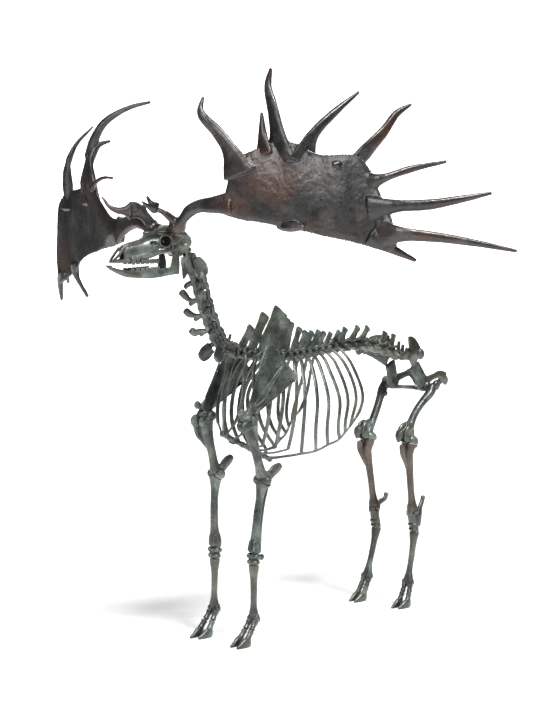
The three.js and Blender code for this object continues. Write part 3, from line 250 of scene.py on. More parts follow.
def tube(path, across=(1, 0, 0), sides=SIDES, per_gap=PER_GAP, dome=0.7):
    """Round bar through rows of (x, y, z, half width, half thickness), its width along the across vector."""
    path = [tuple(p) if len(p) == 5 else (*p, p[3]) for p in path]
    rows = smooth_rows(path, per_gap)
    centres = rows[:, :3]
    tangents = np.gradient(centres, axis=0)
    tangents /= np.linalg.norm(tangents, axis=1)[:, None]
    wide = np.asarray(across, float) - tangents * (tangents @ np.asarray(across, float))[:, None]
    wide /= np.linalg.norm(wide, axis=1)[:, None]
    deep = np.cross(tangents, wide)
    angles = 2 * np.pi * (np.arange(sides) + 0.5) / sides
    size = np.maximum(rows[:, 3:5], 0.4)
    rings = list(centres[:, None, :] + size[:, :1, None] * wide[:, None, :] * np.cos(angles)[None, :, None]
                 + size[:, 1:, None] * deep[:, None, :] * np.sin(angles)[None, :, None])
    first, final = dome * size[0].min(), dome * size[-1].min()
    for share in (0.35, 0.7):
        shrink = math.sqrt(1 - share**2)
        rings.insert(0, centres[0] - tangents[0] * first * share + (rings[0] - rings[0].mean(0)) * shrink)
        rings.append(centres[-1] + tangents[-1] * final * share + (rings[-1] - rings[-1].mean(0)) * shrink)
    return loft(rings, centres[0] - tangents[0] * first, centres[-1] + tangents[-1] * final)


def ball(centre, radii, sides=SIDES):
    heights = np.cos(np.pi * np.arange(1, 10) / 10)
    angles = 2 * np.pi * np.arange(sides) / sides
    rings = []
    for h in heights[::-1]:
        r = math.sqrt(1 - h * h)
        ring = np.stack([r * np.cos(angles), r * np.sin(angles), np.full(sides, h)], 1)
        rings.append(ring * np.array(radii, float) + np.array(centre, float))
    pole = vec(0, 0, radii[2])
    return loft(rings, np.array(centre, float) - pole, np.array(centre, float) + pole)


def plate(stations, normal, steps=12, per_gap=4):
    """Curved plate: each station gives its lower edge, middle, upper edge and half thickness."""
    n = unit(normal)
    fine = smooth_rows([[*middle, *low, *high, thick] for low, middle, high, thick in stations], per_gap)
    rings = []
    for row in fine:
        middle, low, high, thick = row[:3], row[3:6], row[6:9], row[9]
        bow = 2 * middle - (low + high) / 2
        ring = []
        for k in range(2 * steps):
            s = k / steps if k <= steps else (2 * steps - k) / steps
            swell = thick * math.sqrt(math.sin(math.pi * s)) if k % steps else 0.0
            p = (low * (1 - s) + bow * s) * (1 - s) + (bow * (1 - s) + high * s) * s
            ring.append(p + n * math.copysign(swell, steps - k))
        rings.append(np.array(ring))
    return loft(rings, fine[0, :3], fine[-1, :3])


def volume(points, faces):
    """Six times the space inside, negative where the faces look inward."""
    total = 0.0
    for face in faces:
        a = points[face[0]]
        for b, c in zip(face[1:-1], face[2:]):
            total += np.dot(a, np.cross(points[b], points[c]))
    return total


def outward(part):
    points, faces = part
    return part if volume(points, faces) > 0 else (points, [f[::-1] for f in faces])


def kept(parts, point, normal, margin=0.4):
    """Parts pressed flat against a plane, so that nothing lies beyond it."""
    n = unit(normal)
    level = n @ np.asarray(point, float) + margin
    out = []
    for points, faces in parts:
        short = np.maximum(level - points @ n, 0)
        out.append((points + short[:, None] * n, faces))
    return out


# Meshes
def clouds(name, size):
    texture = bpy.data.textures.new(name, "CLOUDS")
    texture.noise_scale = size
    texture.noise_depth = 2
    return texture


def mesh_object(name, parts):
    points, faces, start = [], [], 0
    for part in parts:
        part = outward(part)
        points.append(part[0])
        faces.extend(tuple(i + start for i in face) for face in part[1])
        start += len(part[0])
    mesh = bpy.data.meshes.new(name)
    mesh.from_pydata(((np.vstack(points) - BOX_MIDDLE) * MM).tolist(), [], faces)
    obj = bpy.data.objects.new(name, mesh)
    bpy.context.scene.collection.objects.link(obj)
    return obj


def applied(obj):
    """The object with its modifiers worked into its mesh."""
    graph = bpy.context.evaluated_depsgraph_get()
    mesh = bpy.data.meshes.new_from_object(obj.evaluated_get(graph))
    obj.modifiers.clear()
    obj.data = mesh
    return obj


def evened(obj, voxel, smooth):
    """The object's surface rebuilt in even faces and softened."""
    remesh = obj.modifiers.new("even", "REMESH")
    remesh.mode = "VOXEL"
    remesh.voxel_size = voxel * MM
    if smooth:
        soften = obj.modifiers.new("soften", "SMOOTH")
        soften.factor = 0.5
        soften.iterations = smooth
    return applied(obj)


def bone(nodes, parts, look, voxel, smooth, holes=(), uneven=1.0):
    """A bone in the looks' fine mesh, standing for one or more nodes of the frame."""
    obj = evened(mesh_object(nodes[0] + "_bone", parts), voxel, 0 if holes else smooth)
    if holes:
        cutter = evened(mesh_object("cutter", holes), voxel, 1)
        cut = obj.modifiers.new("open", "BOOLEAN")
        cut.operation = "DIFFERENCE"
        cut.solver = "MANIFOLD"
        cut.object = cutter
        evened(obj, voxel, smooth)
        bpy.data.objects.remove(cutter)
    for label, height in RELIEF_HEIGHT.items():
        rough = obj.modifiers.new(label, "DISPLACE")
        rough.texture = TEXTURES[label]
        rough.texture_coords = "GLOBAL"
        rough.strength = height * uneven * MM
        rough.mid_level = 0.5
    applied(obj)
    obj.data.polygons.foreach_set("use_smooth", [True] * len(obj.data.polygons))
    obj.data.materials.clear()
    obj.data.materials.append(LOOKS[look])
    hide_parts(*nodes)
    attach(obj, "root")


# Materials
def nodes_of(name):
    material = bpy.data.materials.new(name)
    material.use_nodes = True
    tree = material.node_tree
    return material, tree, tree.nodes["Principled BSDF"]


def noise(tree, where, scale, detail, rough=0.55):
    node = tree.nodes.new("ShaderNodeTexNoise")
    node.inputs["Scale"].default_value = scale
    node.inputs["Detail"].default_value = detail
    node.inputs["Roughness"].default_value = rough
    tree.links.new(where, node.inputs["Vector"])
    return node.outputs["Fac"]


def ramp(tree, value, stops):
    node = tree.nodes.new("ShaderNodeValToRGB")
    elements = node.color_ramp.elements
    while len(elements) < len(stops):
        elements.new(0.5)
    for element, (at, colour) in zip(elements, stops):
        element.position = at
        element.color = (*colour, 1.0)
    tree.links.new(value, node.inputs["Fac"])
    return node.outputs["Color"]


def grey(value):
    return (value, value, value)


def blend(tree, factor, a, b, mode="MIX"):
    """Mix of two colours: each of factor, a and b is a number, a colour or a socket."""
    node = tree.nodes.new("ShaderNodeMix")
    node.data_type = "RGBA"
    node.blend_type = mode
    colours = [socket for socket in node.inputs if socket.type == "RGBA"]
    for socket, value in ((node.inputs["Factor"], factor), (colours[0], a), (colours[1], b)):
        if isinstance(value, (int, float)):
            socket.default_value = value
        elif isinstance(value, tuple):
            socket.default_value = (*value, 1.0)
        else:
            tree.links.new(value, socket)
    return next(socket for socket in node.outputs if socket.type == "RGBA")


def bone_look(name, dark, middle, pale, stain, stain_share, gloss):
    """Polished fossil bone: mottled colour with stains, painted highlights on ridges, painted shade in
    creases and hollows, fine cracks and pits.
    """
    material, tree, shader = nodes_of(name)
    where = tree.nodes.new("ShaderNodeTexCoord").outputs["Object"]
    broad = noise(tree, where, 9.0, 5.0)
    fine = noise(tree, where, 60.0, 6.0, 0.7)
    patches = noise(tree, where, 4.0, 3.0)
    colour = ramp(tree, broad, ((0.3, dark), (0.5, middle), (0.7, pale)))
    speckle = ramp(tree, fine, ((0.36, grey(0.5)), (0.5, grey(0.95)), (0.66, grey(1.4))))
    colour = blend(tree, 0.75, colour, speckle, "MULTIPLY")
    tint = ramp(tree, patches, ((0.5, grey(0.0)), (0.68, grey(stain_share))))
    colour = blend(tree, tint, colour, stain)
    # Painted highlight on convex ridges and painted shade in creases, multiplied into the colour from the
    # mesh's pointiness.
    edges = tree.nodes.new("ShaderNodeNewGeometry").outputs["Pointiness"]
    ridge_highlight_crease_shade = ramp(tree, edges, ((0.46, grey(0.25)), (0.5, grey(1.0)), (0.55, grey(1.8))))
    colour = blend(tree, 0.8, colour, ridge_highlight_crease_shade, "MULTIPLY")
    # Painted shade: the colour is darkened where ambient occlusion finds hollows, recesses and gaps between
    # parts.
    shade_occlusion = tree.nodes.new("ShaderNodeAmbientOcclusion")
    shade_occlusion.samples = 6
    shade_occlusion.inputs["Distance"].default_value = 0.06
    painted_hollow_shade = ramp(tree, shade_occlusion.outputs["AO"], ((0.25, grey(0.08)), (0.85, grey(1.0))))
    colour = blend(tree, 1.0, colour, painted_hollow_shade, "MULTIPLY")
    cracks = tree.nodes.new("ShaderNodeTexVoronoi")
    cracks.feature = "DISTANCE_TO_EDGE"
    cracks.inputs["Scale"].default_value = 7.0
    bent = blend(tree, 0.12, where, tree.nodes.new("ShaderNodeTexNoise").outputs["Color"])
    tree.links.new(bent, cracks.inputs["Vector"])
    seams = ramp(tree, cracks.outputs["Distance"], ((0.0, grey(0.25)), (0.012, grey(1.0))))
    colour = blend(tree, 0.6, colour, seams, "MULTIPLY")
    tree.links.new(colour, shader.inputs["Base Color"])
    shine = ramp(tree, noise(tree, where, 26.0, 5.0), ((0.3, grey(gloss)), (0.7, grey(gloss + 0.25))))
    tree.links.new(shine, shader.inputs["Roughness"])
    bump = tree.nodes.new("ShaderNodeBump")
    bump.inputs["Strength"].default_value = 0.6
    bump.inputs["Distance"].default_value = 0.0014
    pits = blend(tree, 0.5, noise(tree, where, 110.0, 5.0, 0.7), noise(tree, where, 420.0, 3.0, 0.6))
    tree.links.new(pits, bump.inputs["Height"])
    billow = tree.nodes.new("ShaderNodeBump")
    billow.inputs["Strength"].default_value = 0.5
    billow.inputs["Distance"].default_value = 0.02
    tree.links.new(noise(tree, where, 3.2, 1.0, 0.4), billow.inputs["Height"])
    tree.links.new(billow.outputs["Normal"], bump.inputs["Normal"])
    tree.links.new(bump.outputs["Normal"], shader.inputs["Normal"])
    shader.inputs["Specular IOR Level"].default_value = 0.6
    shader.inputs["Coat Weight"].default_value = 0.3
    shader.inputs["Coat Roughness"].default_value = 0.2
    return material


LOOKS = {
    "bone": bone_look(
        "bone", (0.008, 0.010, 0.009), (0.050, 0.063, 0.054), (0.17, 0.20, 0.17), (0.08, 0.068, 0.038), 0.5,
        0.2,
    ),
    "shin": bone_look(
        "shin", (0.012, 0.008, 0.005), (0.060, 0.038, 0.024), (0.14, 0.095, 0.066), (0.03, 0.026, 0.02),
        0.5, 0.2,
    ),
    "antler": bone_look(
        "antler", (0.004, 0.004, 0.004), (0.014, 0.013, 0.012), (0.055, 0.052, 0.048), (0.05, 0.018, 0.009),
        0.8, 0.2,
    ),
}
TEXTURES = {"swell": clouds("swell", 0.05), "grain": clouds("grain", 0.012)}


# Skull and jaws
def oval(forward, half_width, top, bottom, sides=24):
    angles = 2 * np.pi * np.arange(sides) / sides
    ring = np.zeros((sides, 3))
    ring[:, 0] = forward
    ring[:, 1] = half_width * np.cos(angles)
    ring[:, 2] = (top + bottom) / 2 + (top - bottom) / 2 * np.sin(angles)
    return ring


def cheek_teeth(start, end, count, height):
    """Row of molars with two crescent cusps each, reaching down by height, or up where it is negative."""
    teeth = []
    length = (end[0] - start[0]) / count
    for i in range(count):
        x, y, z = mix(start, end, (i + 0.5) / count)
        size = length * (0.5 - 0.02 * i)
        for shift in (-0.45, 0.45):
            cusp = x + shift * size
            teeth.append(tube([
                (cusp, y, z + height * 0.6, size * 0.5, 8), (cusp, y, z, size * 0.56, 9),
                (cusp, y, z - height * 0.75, size * 0.5, 7.5), (cusp, y, z - height, size * 0.2, 4),
            ], sides=10, per_gap=2))
    return teeth


def skull_parts():
    profile = (
        (-6, 42, 88, 14), (30, 62, 116, -12), (85, 74, 132, -14), (130, 82, 140, -8), (175, 80, 126, -10),
        (215, 70, 104, -22), (258, 56, 86, -34), (306, 46, 65, -40), (360, 38, 52, -41), (400, 30, 42, -42),
    )
    rows = smooth_rows([(f, 0, 0, w, top, bottom) for f, w, top, bottom in profile], 4)
    shell = loft([oval(row[0], row[3], row[4], row[5]) for row in rows], vec(-12, 0, 50), vec(418, 0, 8))
    parts = [shell]
    parts.append(tube([(300, 0, 60, 24, 8), (360, 0, 49, 20, 6), (404, 0, 37, 13, 4)], (0, 1, 0)))
    for s in (1, -1):
        at = on_side(s, 1)
        parts += [
            tube([at(380, 24, -34, 11, 12), at(430, 18, -38, 9, 8), at(474, 10, -41, 8, 4)], (0, 1, 0)),
            tube([at(470, 11, -38, 5, 7), at(440, 21, -10, 4, 9), at(404, 20, 30, 4, 8)], (0, 1, 0)),
            tube([at(118, 40, 104, 34), at(136, 70, 120, 30), at(148, 96, 131, 31)]),
            tube([
                at(238, 52, 6, 9, 15), at(196, 76, 12, 6, 12), at(152, 82, 16, 6, 10),
                at(108, 70, 32, 10, 13),
            ], (0, 1, 0)),
            tube([at(150, 80, 16, 5, 7), at(150, 86, 56, 5, 8), at(160, 80, 94, 7, 10)]),
            ball(at(192, 60, 98), (38, 22, 13)),
            ball(at(2, 20, 8), (22, 16, 20)),
            tube([at(26, 42, 20, 12, 10), at(28, 42, -14, 8, 6), at(32, 40, -44, 4, 4)]),
            ball(at(70, 32, -10), (22, 13, 13)),
            tube([
                at(10, 48, 70, 6, 8), at(40, 64, 78, 5, 7), at(80, 74, 82, 5, 6), at(124, 78, 96, 6, 8),
            ], (0, 1, 0)),
            tube([at(222, 48, 8, 10, 18), at(300, 44, -12, 8, 12), at(366, 36, -24, 7, 9)], (0, 1, 0)),
        ]
        rim = []
        for k in range(13):
            angle = 2 * math.pi * k / 12
            rim.append(at(190 + 34 * math.cos(angle), 79 - 6 * math.cos(angle), 60 + 30 * math.sin(angle),
                          5, 5))
        parts.append(tube(rim, (0, 1, 0), 8, 2))
        parts += cheek_teeth(at(206, 44, -38), at(372, 34, -42), 6, 14)
    holes = []
    for s in (1, -1):
        holes += [
            ball((190, s * 80, 60), (29, 48, 26)),
            ball((248, s * 58, 50), (20, 18, 11)),
            ball((66, s * 86, 50), (38, 34, 24)),
            ball((330, s * 46, -6), (5, 8, 3)),
        ]
    holes += [ball((420, 0, -4), (50, 17, 30)), ball((-14, 0, 26), (30, 15, 15))]
    return parts, holes


def jaw_parts(s):
    at = on_side(s, 1)
    parts = [
        tube([
            at(472, 9, -72, 8, 6), at(440, 14, -82, 10, 9), at(400, 22, -93, 9, 13),
            at(350, 30, -103, 8, 17), at(280, 38, -106, 9, 20), at(200, 45, -100, 9, 22),
            at(140, 50, -92, 8, 22), at(98, 54, -92, 7, 16),
        ], (0, 1, 0)),
        plate([
            (at(84, 54, -106), at(112, 54, -110), at(156, 50, -108), 6),
            (at(82, 55, -60), at(108, 55, -60), at(142, 52, -62), 5),
            (at(90, 58, -12), at(108, 58, -12), at(130, 56, -8), 5),
            (at(98, 62, 14), at(110, 62, 14), at(124, 61, 14), 6),
        ], (0, s, 0)),
        tube([at(116, 52, 18, 9, 8), at(116, 76, 18, 9, 8)]),
        tube([at(122, 58, -12, 11, 5), at(122, 58, 26, 8, 4), at(112, 58, 50, 4, 3)]),
        tube([at(452, 8, -74, 8, 6), at(486, 12, -64, 9, 4)], (0, 1, 0)),
    ]
    for i in range(4):
        incisor = [
            at(466 + i * 3, 3 + i * 5, -70 + i, 3, 4), at(486 - i * 1.5, 4 + i * 6, -60, 3.4, 2.6),
            at(492 - i * 2, 4 + i * 6.5, -55, 3, 1.4),
        ]
        parts.append(tube(incisor, (0, 1, 0), 8, 2))
    parts += cheek_teeth(at(200, 45, -78), at(376, 29, -84), 6, -12)
    return parts


def build_head():
    skull, holes = skull_parts()
    axes = head_frame()
    whole = kept(placed(skull, axes), NECK[0], -vec(*SKULL_SLOPE))
    bone(["skull"], whole, "bone", voxel=2.2, smooth=3, holes=placed(holes, axes), uneven=0.7)
    for name, s in (("left", 1), ("right", -1)):
        bone(["mandible_" + name], placed(jaw_parts(s), axes), "bone", voxel=2.0, smooth=3, uneven=0.6)


# Antlers
def tine(points, root, tip=9):
    """Tapering point of an antler: root and tip are half widths."""
    last = len(points) - 1
    rows = []
    for i, p in enumerate(points):
        width = root * ROOT_FLARE if i == 0 else root + (tip - root) * i / last
        rows.append((*p, width, min(width * TINE_DEPTH, TINE_THICKNESS)))
    return tube(rows, (0.3, 0, 1), per_gap=6)


def left_antler():
    parts = [
        tube([
            (84, -1040, 2176, 34), (100, -1045, 2184, 46), (112, -1046, 2191, 44), (122, -1047, 2198, 35),
            (190, -1046, 2258, 33, 30), (262, -1044, 2283, 35, 27), (330, -1036, 2288, 42, 24),
            (430, -1010, 2298, 60, 20),
        ], (0, 0.2, 1)),
        plate([
            ((392, -1016, 2238), (398, -1016, 2285), (404, -1030, 2318), 20),
            ((466, -988, 2215), (448, -998, 2330), (442, -1012, 2476), 18),
            ((590, -934, 2196), (560, -947, 2350), (545, -960, 2562), 16),
            ((680, -885, 2172), (650, -898, 2370), (640, -890, 2596), 15),
            ((760, -840, 2156), (740, -850, 2372), (716, -860, 2594), 15),
            ((850, -780, 2130), (820, -800, 2352), (805, -800, 2540), 14),
            ((930, -735, 2113), (905, -752, 2330), (876, -769, 2536), 14),
            ((1000, -690, 2092), (985, -690, 2310), (960, -715, 2538), 13),
            ((1065, -655, 2074), (1060, -650, 2250), (1031, -662, 2457), 12),
            ((1120, -636, 2066), (1110, -636, 2190), (1080, -640, 2330), 10),
            ((1160, -620, 2090), (1150, -620, 2150), (1125, -625, 2240), 7),
        ], (0.55, -0.8, 0.1)),
        ball((704, -878, 2184), (92, 24, 26)),
    ]
    tines = (
        (((480, -1000, 2440), (442, -1026, 2554), (385, -1047, 2637), (314, -1096, 2741),
          (300, -1064, 2810)), 56, 9),
        (((580, -930, 2540), (566, -926, 2650), (560, -924, 2732)), 34, 9),
        (((640, -881, 2500), (627, -888, 2640), (595, -885, 2756), (550, -869, 2864), (520, -816, 2947)),
         58, 12),
        (((730, -820, 2500), (768, -792, 2616), (810, -690, 2725), (857, -550, 2835)), 56, 8),
        (((920, -700, 2440), (941, -682, 2480), (981, -633, 2552), (1016, -543, 2647), (1040, -479, 2730),
          (1078, -418, 2775)), 66, 9),
        (((1000, -670, 2390), (1070, -642, 2412), (1150, -513, 2460), (1268, -384, 2497)), 38, 9),
        (((1030, -670, 2266), (1130, -620, 2283), (1260, -497, 2292), (1370, -366, 2321),
          (1449, -264, 2346)), 44, 10),
        (((1060, -650, 2150), (1190, -618, 2150), (1280, -521, 2140), (1420, -350, 2108),
          (1552, -195, 2069)), 46, 9),
        (((1036, -672, 2136), (1150, -586, 2060), (1190, -519, 2024)), 28, 10),
    )
    parts += [tine(*t) for t in tines]
    parts += [
        tube([
            (98, -1058, 2206, 30, 20), (80, -1116, 2248, 30, 14), (74, -1166, 2270, 32, 10),
            (76, -1194, 2284, 30, 8),
        ], (0, 1, -0.4)),
        tine(((78, -1176, 2276), (74, -1206, 2302), (68, -1221, 2329)), 18, 7),
        tine(((80, -1186, 2274), (84, -1234, 2284), (88, -1274, 2304)), 18, 6),
    ]
    return parts


def right_antler():
    parts = [
        tube([
            (-84, -1024, 2166, 34), (-100, -1025, 2170, 46), (-112, -1025, 2174, 44),
            (-124, -1024, 2179, 36),
            (-190, -1020, 2200, 38, 30), (-280, -996, 2194, 42, 27), (-360, -975, 2172, 54, 24),
            (-430, -950, 2150, 82, 20),
        ], (0, 0.2, 1)),
        plate([
            ((-392, -940, 2090), (-392, -962, 2150), (-396, -962, 2204), 20),
            ((-480, -930, 2064), (-480, -956, 2146), (-480, -950, 2226), 18),
            ((-560, -925, 2050), (-570, -920, 2160), (-575, -934, 2306), 17),
            ((-660, -895, 2028), (-670, -880, 2185), (-670, -905, 2365), 16),
            ((-760, -870, 2003), (-780, -840, 2180), (-770, -865, 2385), 15),
            ((-860, -825, 1963), (-890, -805, 2165), (-880, -815, 2370), 15),
            ((-940, -775, 1923), (-980, -771, 2143), (-990, -785, 2355), 14),
            ((-1046, -732, 1878), (-1078, -735, 2090), (-1093, -765, 2290), 13),
            ((-1138, -688, 1850), (-1148, -700, 2010), (-1160, -716, 2165), 11),
            ((-1218, -648, 1830), (-1208, -668, 1920), (-1193, -693, 2030), 8),
        ], (0.5, 0.85, 0.1)),
    ]
    tines = (
        (((-730, -855, 2290), (-734, -855, 2401), (-742, -856, 2475), (-734, -843, 2541),
          (-709, -822, 2594),
          (-665, -780, 2618)), 46, 8),
        (((-795, -845, 2290), (-788, -840, 2340), (-780, -848, 2412), (-761, -846, 2518),
          (-720, -840, 2628),
          (-677, -814, 2709), (-623, -767, 2762), (-573, -713, 2796), (-503, -641, 2822)), 42, 9),
        (((-680, -900, 2370), (-654, -907, 2391), (-615, -907, 2413), (-561, -913, 2424),
          (-516, -900, 2422)), 15, 7),
        (((-990, -782, 2260), (-990, -782, 2305), (-983, -796, 2391), (-969, -807, 2493),
          (-936, -784, 2592),
          (-882, -700, 2700)), 44, 6),
        (((-1190, -660, 1930), (-1240, -625, 1850), (-1297, -566, 1746)), 36, 10),
        (((-1100, -700, 1930), (-1150, -655, 1885), (-1178, -622, 1848)), 24, 10),
        (((-960, -765, 1970), (-985, -740, 1905), (-962, -678, 1780)), 30, 10),
    )
    parts += [tine(*t) for t in tines]
    parts += [
        tube([
            (-93, -1038, 2190, 28, 18), (-100, -1093, 2240, 30, 14), (-120, -1130, 2262, 44, 9),
            (-138, -1150, 2266, 38, 8),
        ], (0.5, 0.3, 1)),
        tine((
            (-132, -1146, 2256), (-149, -1170, 2256), (-169, -1194, 2258), (-200, -1219, 2276),
            (-231, -1242, 2325),
        ), 30, 6),
        tine(((-112, -1120, 2270), (-108, -1134, 2288), (-113, -1155, 2298)), 15, 7),
        tine(((-100, -1080, 2240), (-92, -1086, 2272), (-86, -1090, 2296)), 15, 7),
    ]
    return parts


def build_antlers():
    for side, parts in (("left", left_antler()), ("right", right_antler())):
        names = [f"antler_{side}_{part}" for part in ("beam", "brow_tine", "palm_inner", "palm_outer")]
        bone(names, parts, "antler", voxel=4.0, smooth=4, uneven=1.6)


# Neck
def cervical(i):
    """Vertebra of the neck: parts cut off at its joints, parts that may pass them, and its frame."""
    front, rear = np.array(NECK[i], float), np.array(NECK[i + 1], float)
    length = np.linalg.norm(front - rear)
    axis = (front - rear) / length
    left = unit(vec(1, 0, 0) - axis * axis[0])
    up = np.cross(axis, left)
    axes = ((front + rear) / 2, left, up, axis)
    half = length / 2
    core = [tube([
        (0, 0, -half - 6, 28, 26), (0, 0, -half * 0.3, 20, 19), (0, 0, half * 0.4, 21, 21),
        (0, 0, half + 8, 24, 24),
    ])]
    free = []
    if i == 0:
        core.append(tube([(0, 22, -half * 0.9, 34, 18), (0, 26, half * 0.6, 36, 16)]))
        for s in (1, -1):
            free.append(plate([
                ((s * 24, -16, -half), (s * 26, 10, -half * 0.6), (s * 28, 12, half * 0.3), 12),
                ((s * 55, -18, -half * 1.5), (s * 56, 18, -half * 0.7), (s * 57, 14, half * 0.5), 8),
                ((s * 76, -4, -half * 1.5), (s * 78, 26, -half * 0.9), (s * 76, 24, half * 0.3), 6),
                ((s * 92, 14, -half * 1.2), (s * 94, 26, -half * 0.9), (s * 90, 28, -half * 0.1), 5),
            ], (0, 1, -0.25)))
        return core, free, axes
    height = CERVICAL_SPINE_HEIGHT[i]
    spread = CERVICAL_SPREAD[i]
    core.append(tube([(0, 26, -half * 0.8, 28, 18), (0, 28, half * 0.8, 26, 16)]))
    ahead, foot, waist, top = (half * 0.45, 36, 34, 28) if i == 1 else (4, 16, 12, 9)
    core.append(tube([(0, 34, ahead, 6, foot), (0, height * 0.7, -2, 5, waist), (0, height, -6, 7, top)]))
    for s in (1, -1):
        free += [
            tube([
                (s * 24, 34, -half * 0.2, 13, 12), (s * 30, 42, half * 0.75, 12, 14),
                (s * 31, 44, half * 1.1, 9, 11),
            ]),
            tube([
                (s * 24, 34, half * 0.1, 13, 12), (s * 30, 44, -half * 0.6, 14, 15),
                (s * 31, 42, -half * 0.85, 11, 12),
            ]),
            tube([
                (s * 16, -2, 4, 12, 14), (s * spread * 0.8, -18, -4, 9, 15), (s * spread, -28, -14, 8, 12),
            ], (0, 1, 0)),
        ]
        if i == 5:
            free.append(plate([
                ((s * 34, -16, -44), (s * 36, -20, -4), (s * 34, -18, 30), 10),
                ((s * 50, -56, -58), (s * 52, -66, -12), (s * 50, -60, 32), 8),
                ((s * 56, -92, -46), (s * 58, -104, -14), (s * 56, -96, 20), 8),
            ], (s, 0.4, 0)))
        elif i in (2, 3, 4):
            drop, ahead = NECK_KNOBS[i - 2]
            free.append(tube([
                (s * 18, -4, 0, 12, 12), (s * 46, -26, half * 0.3, 13, 13),
                (s * 64, 6 - drop, half + ahead - 16, 20, 20), (s * 70, -drop, half + ahead, 20, 20),
            ]))
    return core, free, axes


def build_neck():
    names = ("atlas", "axis", "cervical_3", "cervical_4", "cervical_5", "cervical_6", "cervical_7")
    joints = np.array(NECK, float)
    slopes = [unit(joints[min(i + 1, 7)] - joints[max(i - 1, 0)]) for i in range(8)]
    slopes[0] = unit(SKULL_SLOPE)
    slopes[7] = unit(CHEST_SLOPE)
    for i, name in enumerate(names):
        core, free, axes = cervical(i)
        core = kept(kept(placed(core, axes), NECK[i], slopes[i], 1.2), NECK[i + 1], -slopes[i + 1], 1.2)
        bone([name], core + placed(free, axes), "bone", voxel=2.4, smooth=3, uneven=1.3)


# Back
def centrum(y, pitch, width, depth):
    """Body of a vertebra, waisted between its two end plates."""
    rows = []
    for t, size in ((-0.5, 1.0), (-0.4, 1.04), (-0.15, 0.8), (0.15, 0.8), (0.4, 1.04), (0.48, 1.0)):
        rows.append((0, y + t * pitch, along(y + t * pitch), width * size, depth * size))
    return tube(rows, per_gap=3, dome=0.2)


def thoracic_parts():
    parts = []
    for i, y in enumerate(THORACIC_Y):
        pitch = (THORACIC_Y[i + 1] if i < 12 else LUMBAR_FIRST_Y - 8) - y
        z = along(y)
        height, lean = THORACIC_TIP_HEIGHT[i], THORACIC_TIP_LEAN[i]
        tip = (0, y + lean, z + height)
        broad = (13 + 0.06 * height) * (1.35 if i < 3 else 1.1)
        base = (0, y - 2, z + 16)
        parts.append(centrum(y + pitch * 0.1, pitch, 25, 24))
        parts.append(tube([(0, y - 14, z + 26, 20, 14), (0, y + pitch * 0.75, z + 28, 17, 12)]))
        parts.append(tube([
            (*base, 14, 24), (*mix(base, tip, 0.3), 7, broad * 1.05),
            (*mix(base, tip, 0.7), 6, broad * 0.95), (*mix(base, tip, 0.94), 8, broad * 1.12),
            (*tip, 8, broad),
        ], dome=0.5))
        for s in (1, -1):
            parts.append(tube([
                (s * 10, y, z + 22, 12, 12), (s * 34, y - 4, z + 24, 9, 10),
                (s * 47, y - 8, z + 22, 11, 12),
            ], (0, 1, 0)))
            parts.append(ball((s * 14, y + pitch * 0.55, z + 36), (9, 14, 9)))
    return parts


def lumbar_parts():
    parts = []
    for i in range(6):
        y = LUMBAR_FIRST_Y + i * LUMBAR_PITCH
        z = along(y)
        reach = 104 - 6 * abs(i - 2)
        tip = (0, y + LUMBAR_TIP_LEAN[i], z + LUMBAR_TIP_HEIGHT[i])
        foot = (0, y - 2, z + 20)
        parts.append(centrum(y, LUMBAR_PITCH, 30, 26))
        parts.append(tube([(0, y - 30, z + 30, 19, 14), (0, y + 30, z + 28, 16, 12)]))
        parts.append(tube([(*foot, 10, 32), (*mix(foot, tip, 0.4), 6, 25), (*mix(foot, tip, 0.75), 6, 22),
                           (*mix(foot, tip, 0.95), 9, 27), (*tip, 8, 26)], dome=0.4))
        for s in (1, -1):
            parts.append(tube([
                (s * 12, y - 2, z + 4, 22, 10), (s * 50, y - 10, z - 2, 16, 6),
                (s * (reach - 8), y - 24, z - 10, 15, 5), (s * reach, y - 28, z - 11, 9, 5),
            ], (0, 1, 0)))
            parts.append(tube([
                (s * 18, y - 20, z + 34, 10, 12), (s * 22, y - 42, z + 42, 11, 14),
            ], (0, 0, 1)))
            parts.append(tube([(s * 15, y + 20, z + 32, 9, 10), (s * 15, y + 44, z + 38, 8, 10)],
                              (0, 0, 1)))
    return parts


def sacrum_parts():
    rows = []
    for t in (0, 0.33, 0.66, 1):
        y = SACRUM_START_Y - 6 + (SACRUM_END_Y - SACRUM_START_Y) * t
        rows.append((0, y, along(y), 44 - 26 * t, 25 - 9 * t))
    parts = [tube(rows)]
    for i in range(4):
        y = SACRUM_START_Y + 24 + 36 * i
        z = along(y)
        parts.append(tube([(0, y, z + 10, 8, 18), (0, y + 10, z + 74 - 12 * i, 6, 14)]))
    for s in (1, -1):
        parts.append(tube([
            (s * 20, 846, 1404, 32, 18), (s * 62, 842, 1424, 32, 24), (s * 82, 838, 1444, 26, 24),
        ], (0, 1, 0)))
    return kept(parts, (0, SACRUM_START_Y, 0), (0, 1, 0), 0.5)


def rib_points(number):
    keys = [k[0] for k in RIB_KEYS]
    rows = np.array([np.ravel(k[1:]) for k in RIB_KEYS], float)
    values = [np.interp(number, keys, rows[:, c]) for c in range(rows.shape[1])]
    return np.array(values).reshape(-1, 3)


def sternum_at(t):
    return mix(STERNUM_FRONT, STERNUM_REAR, t)


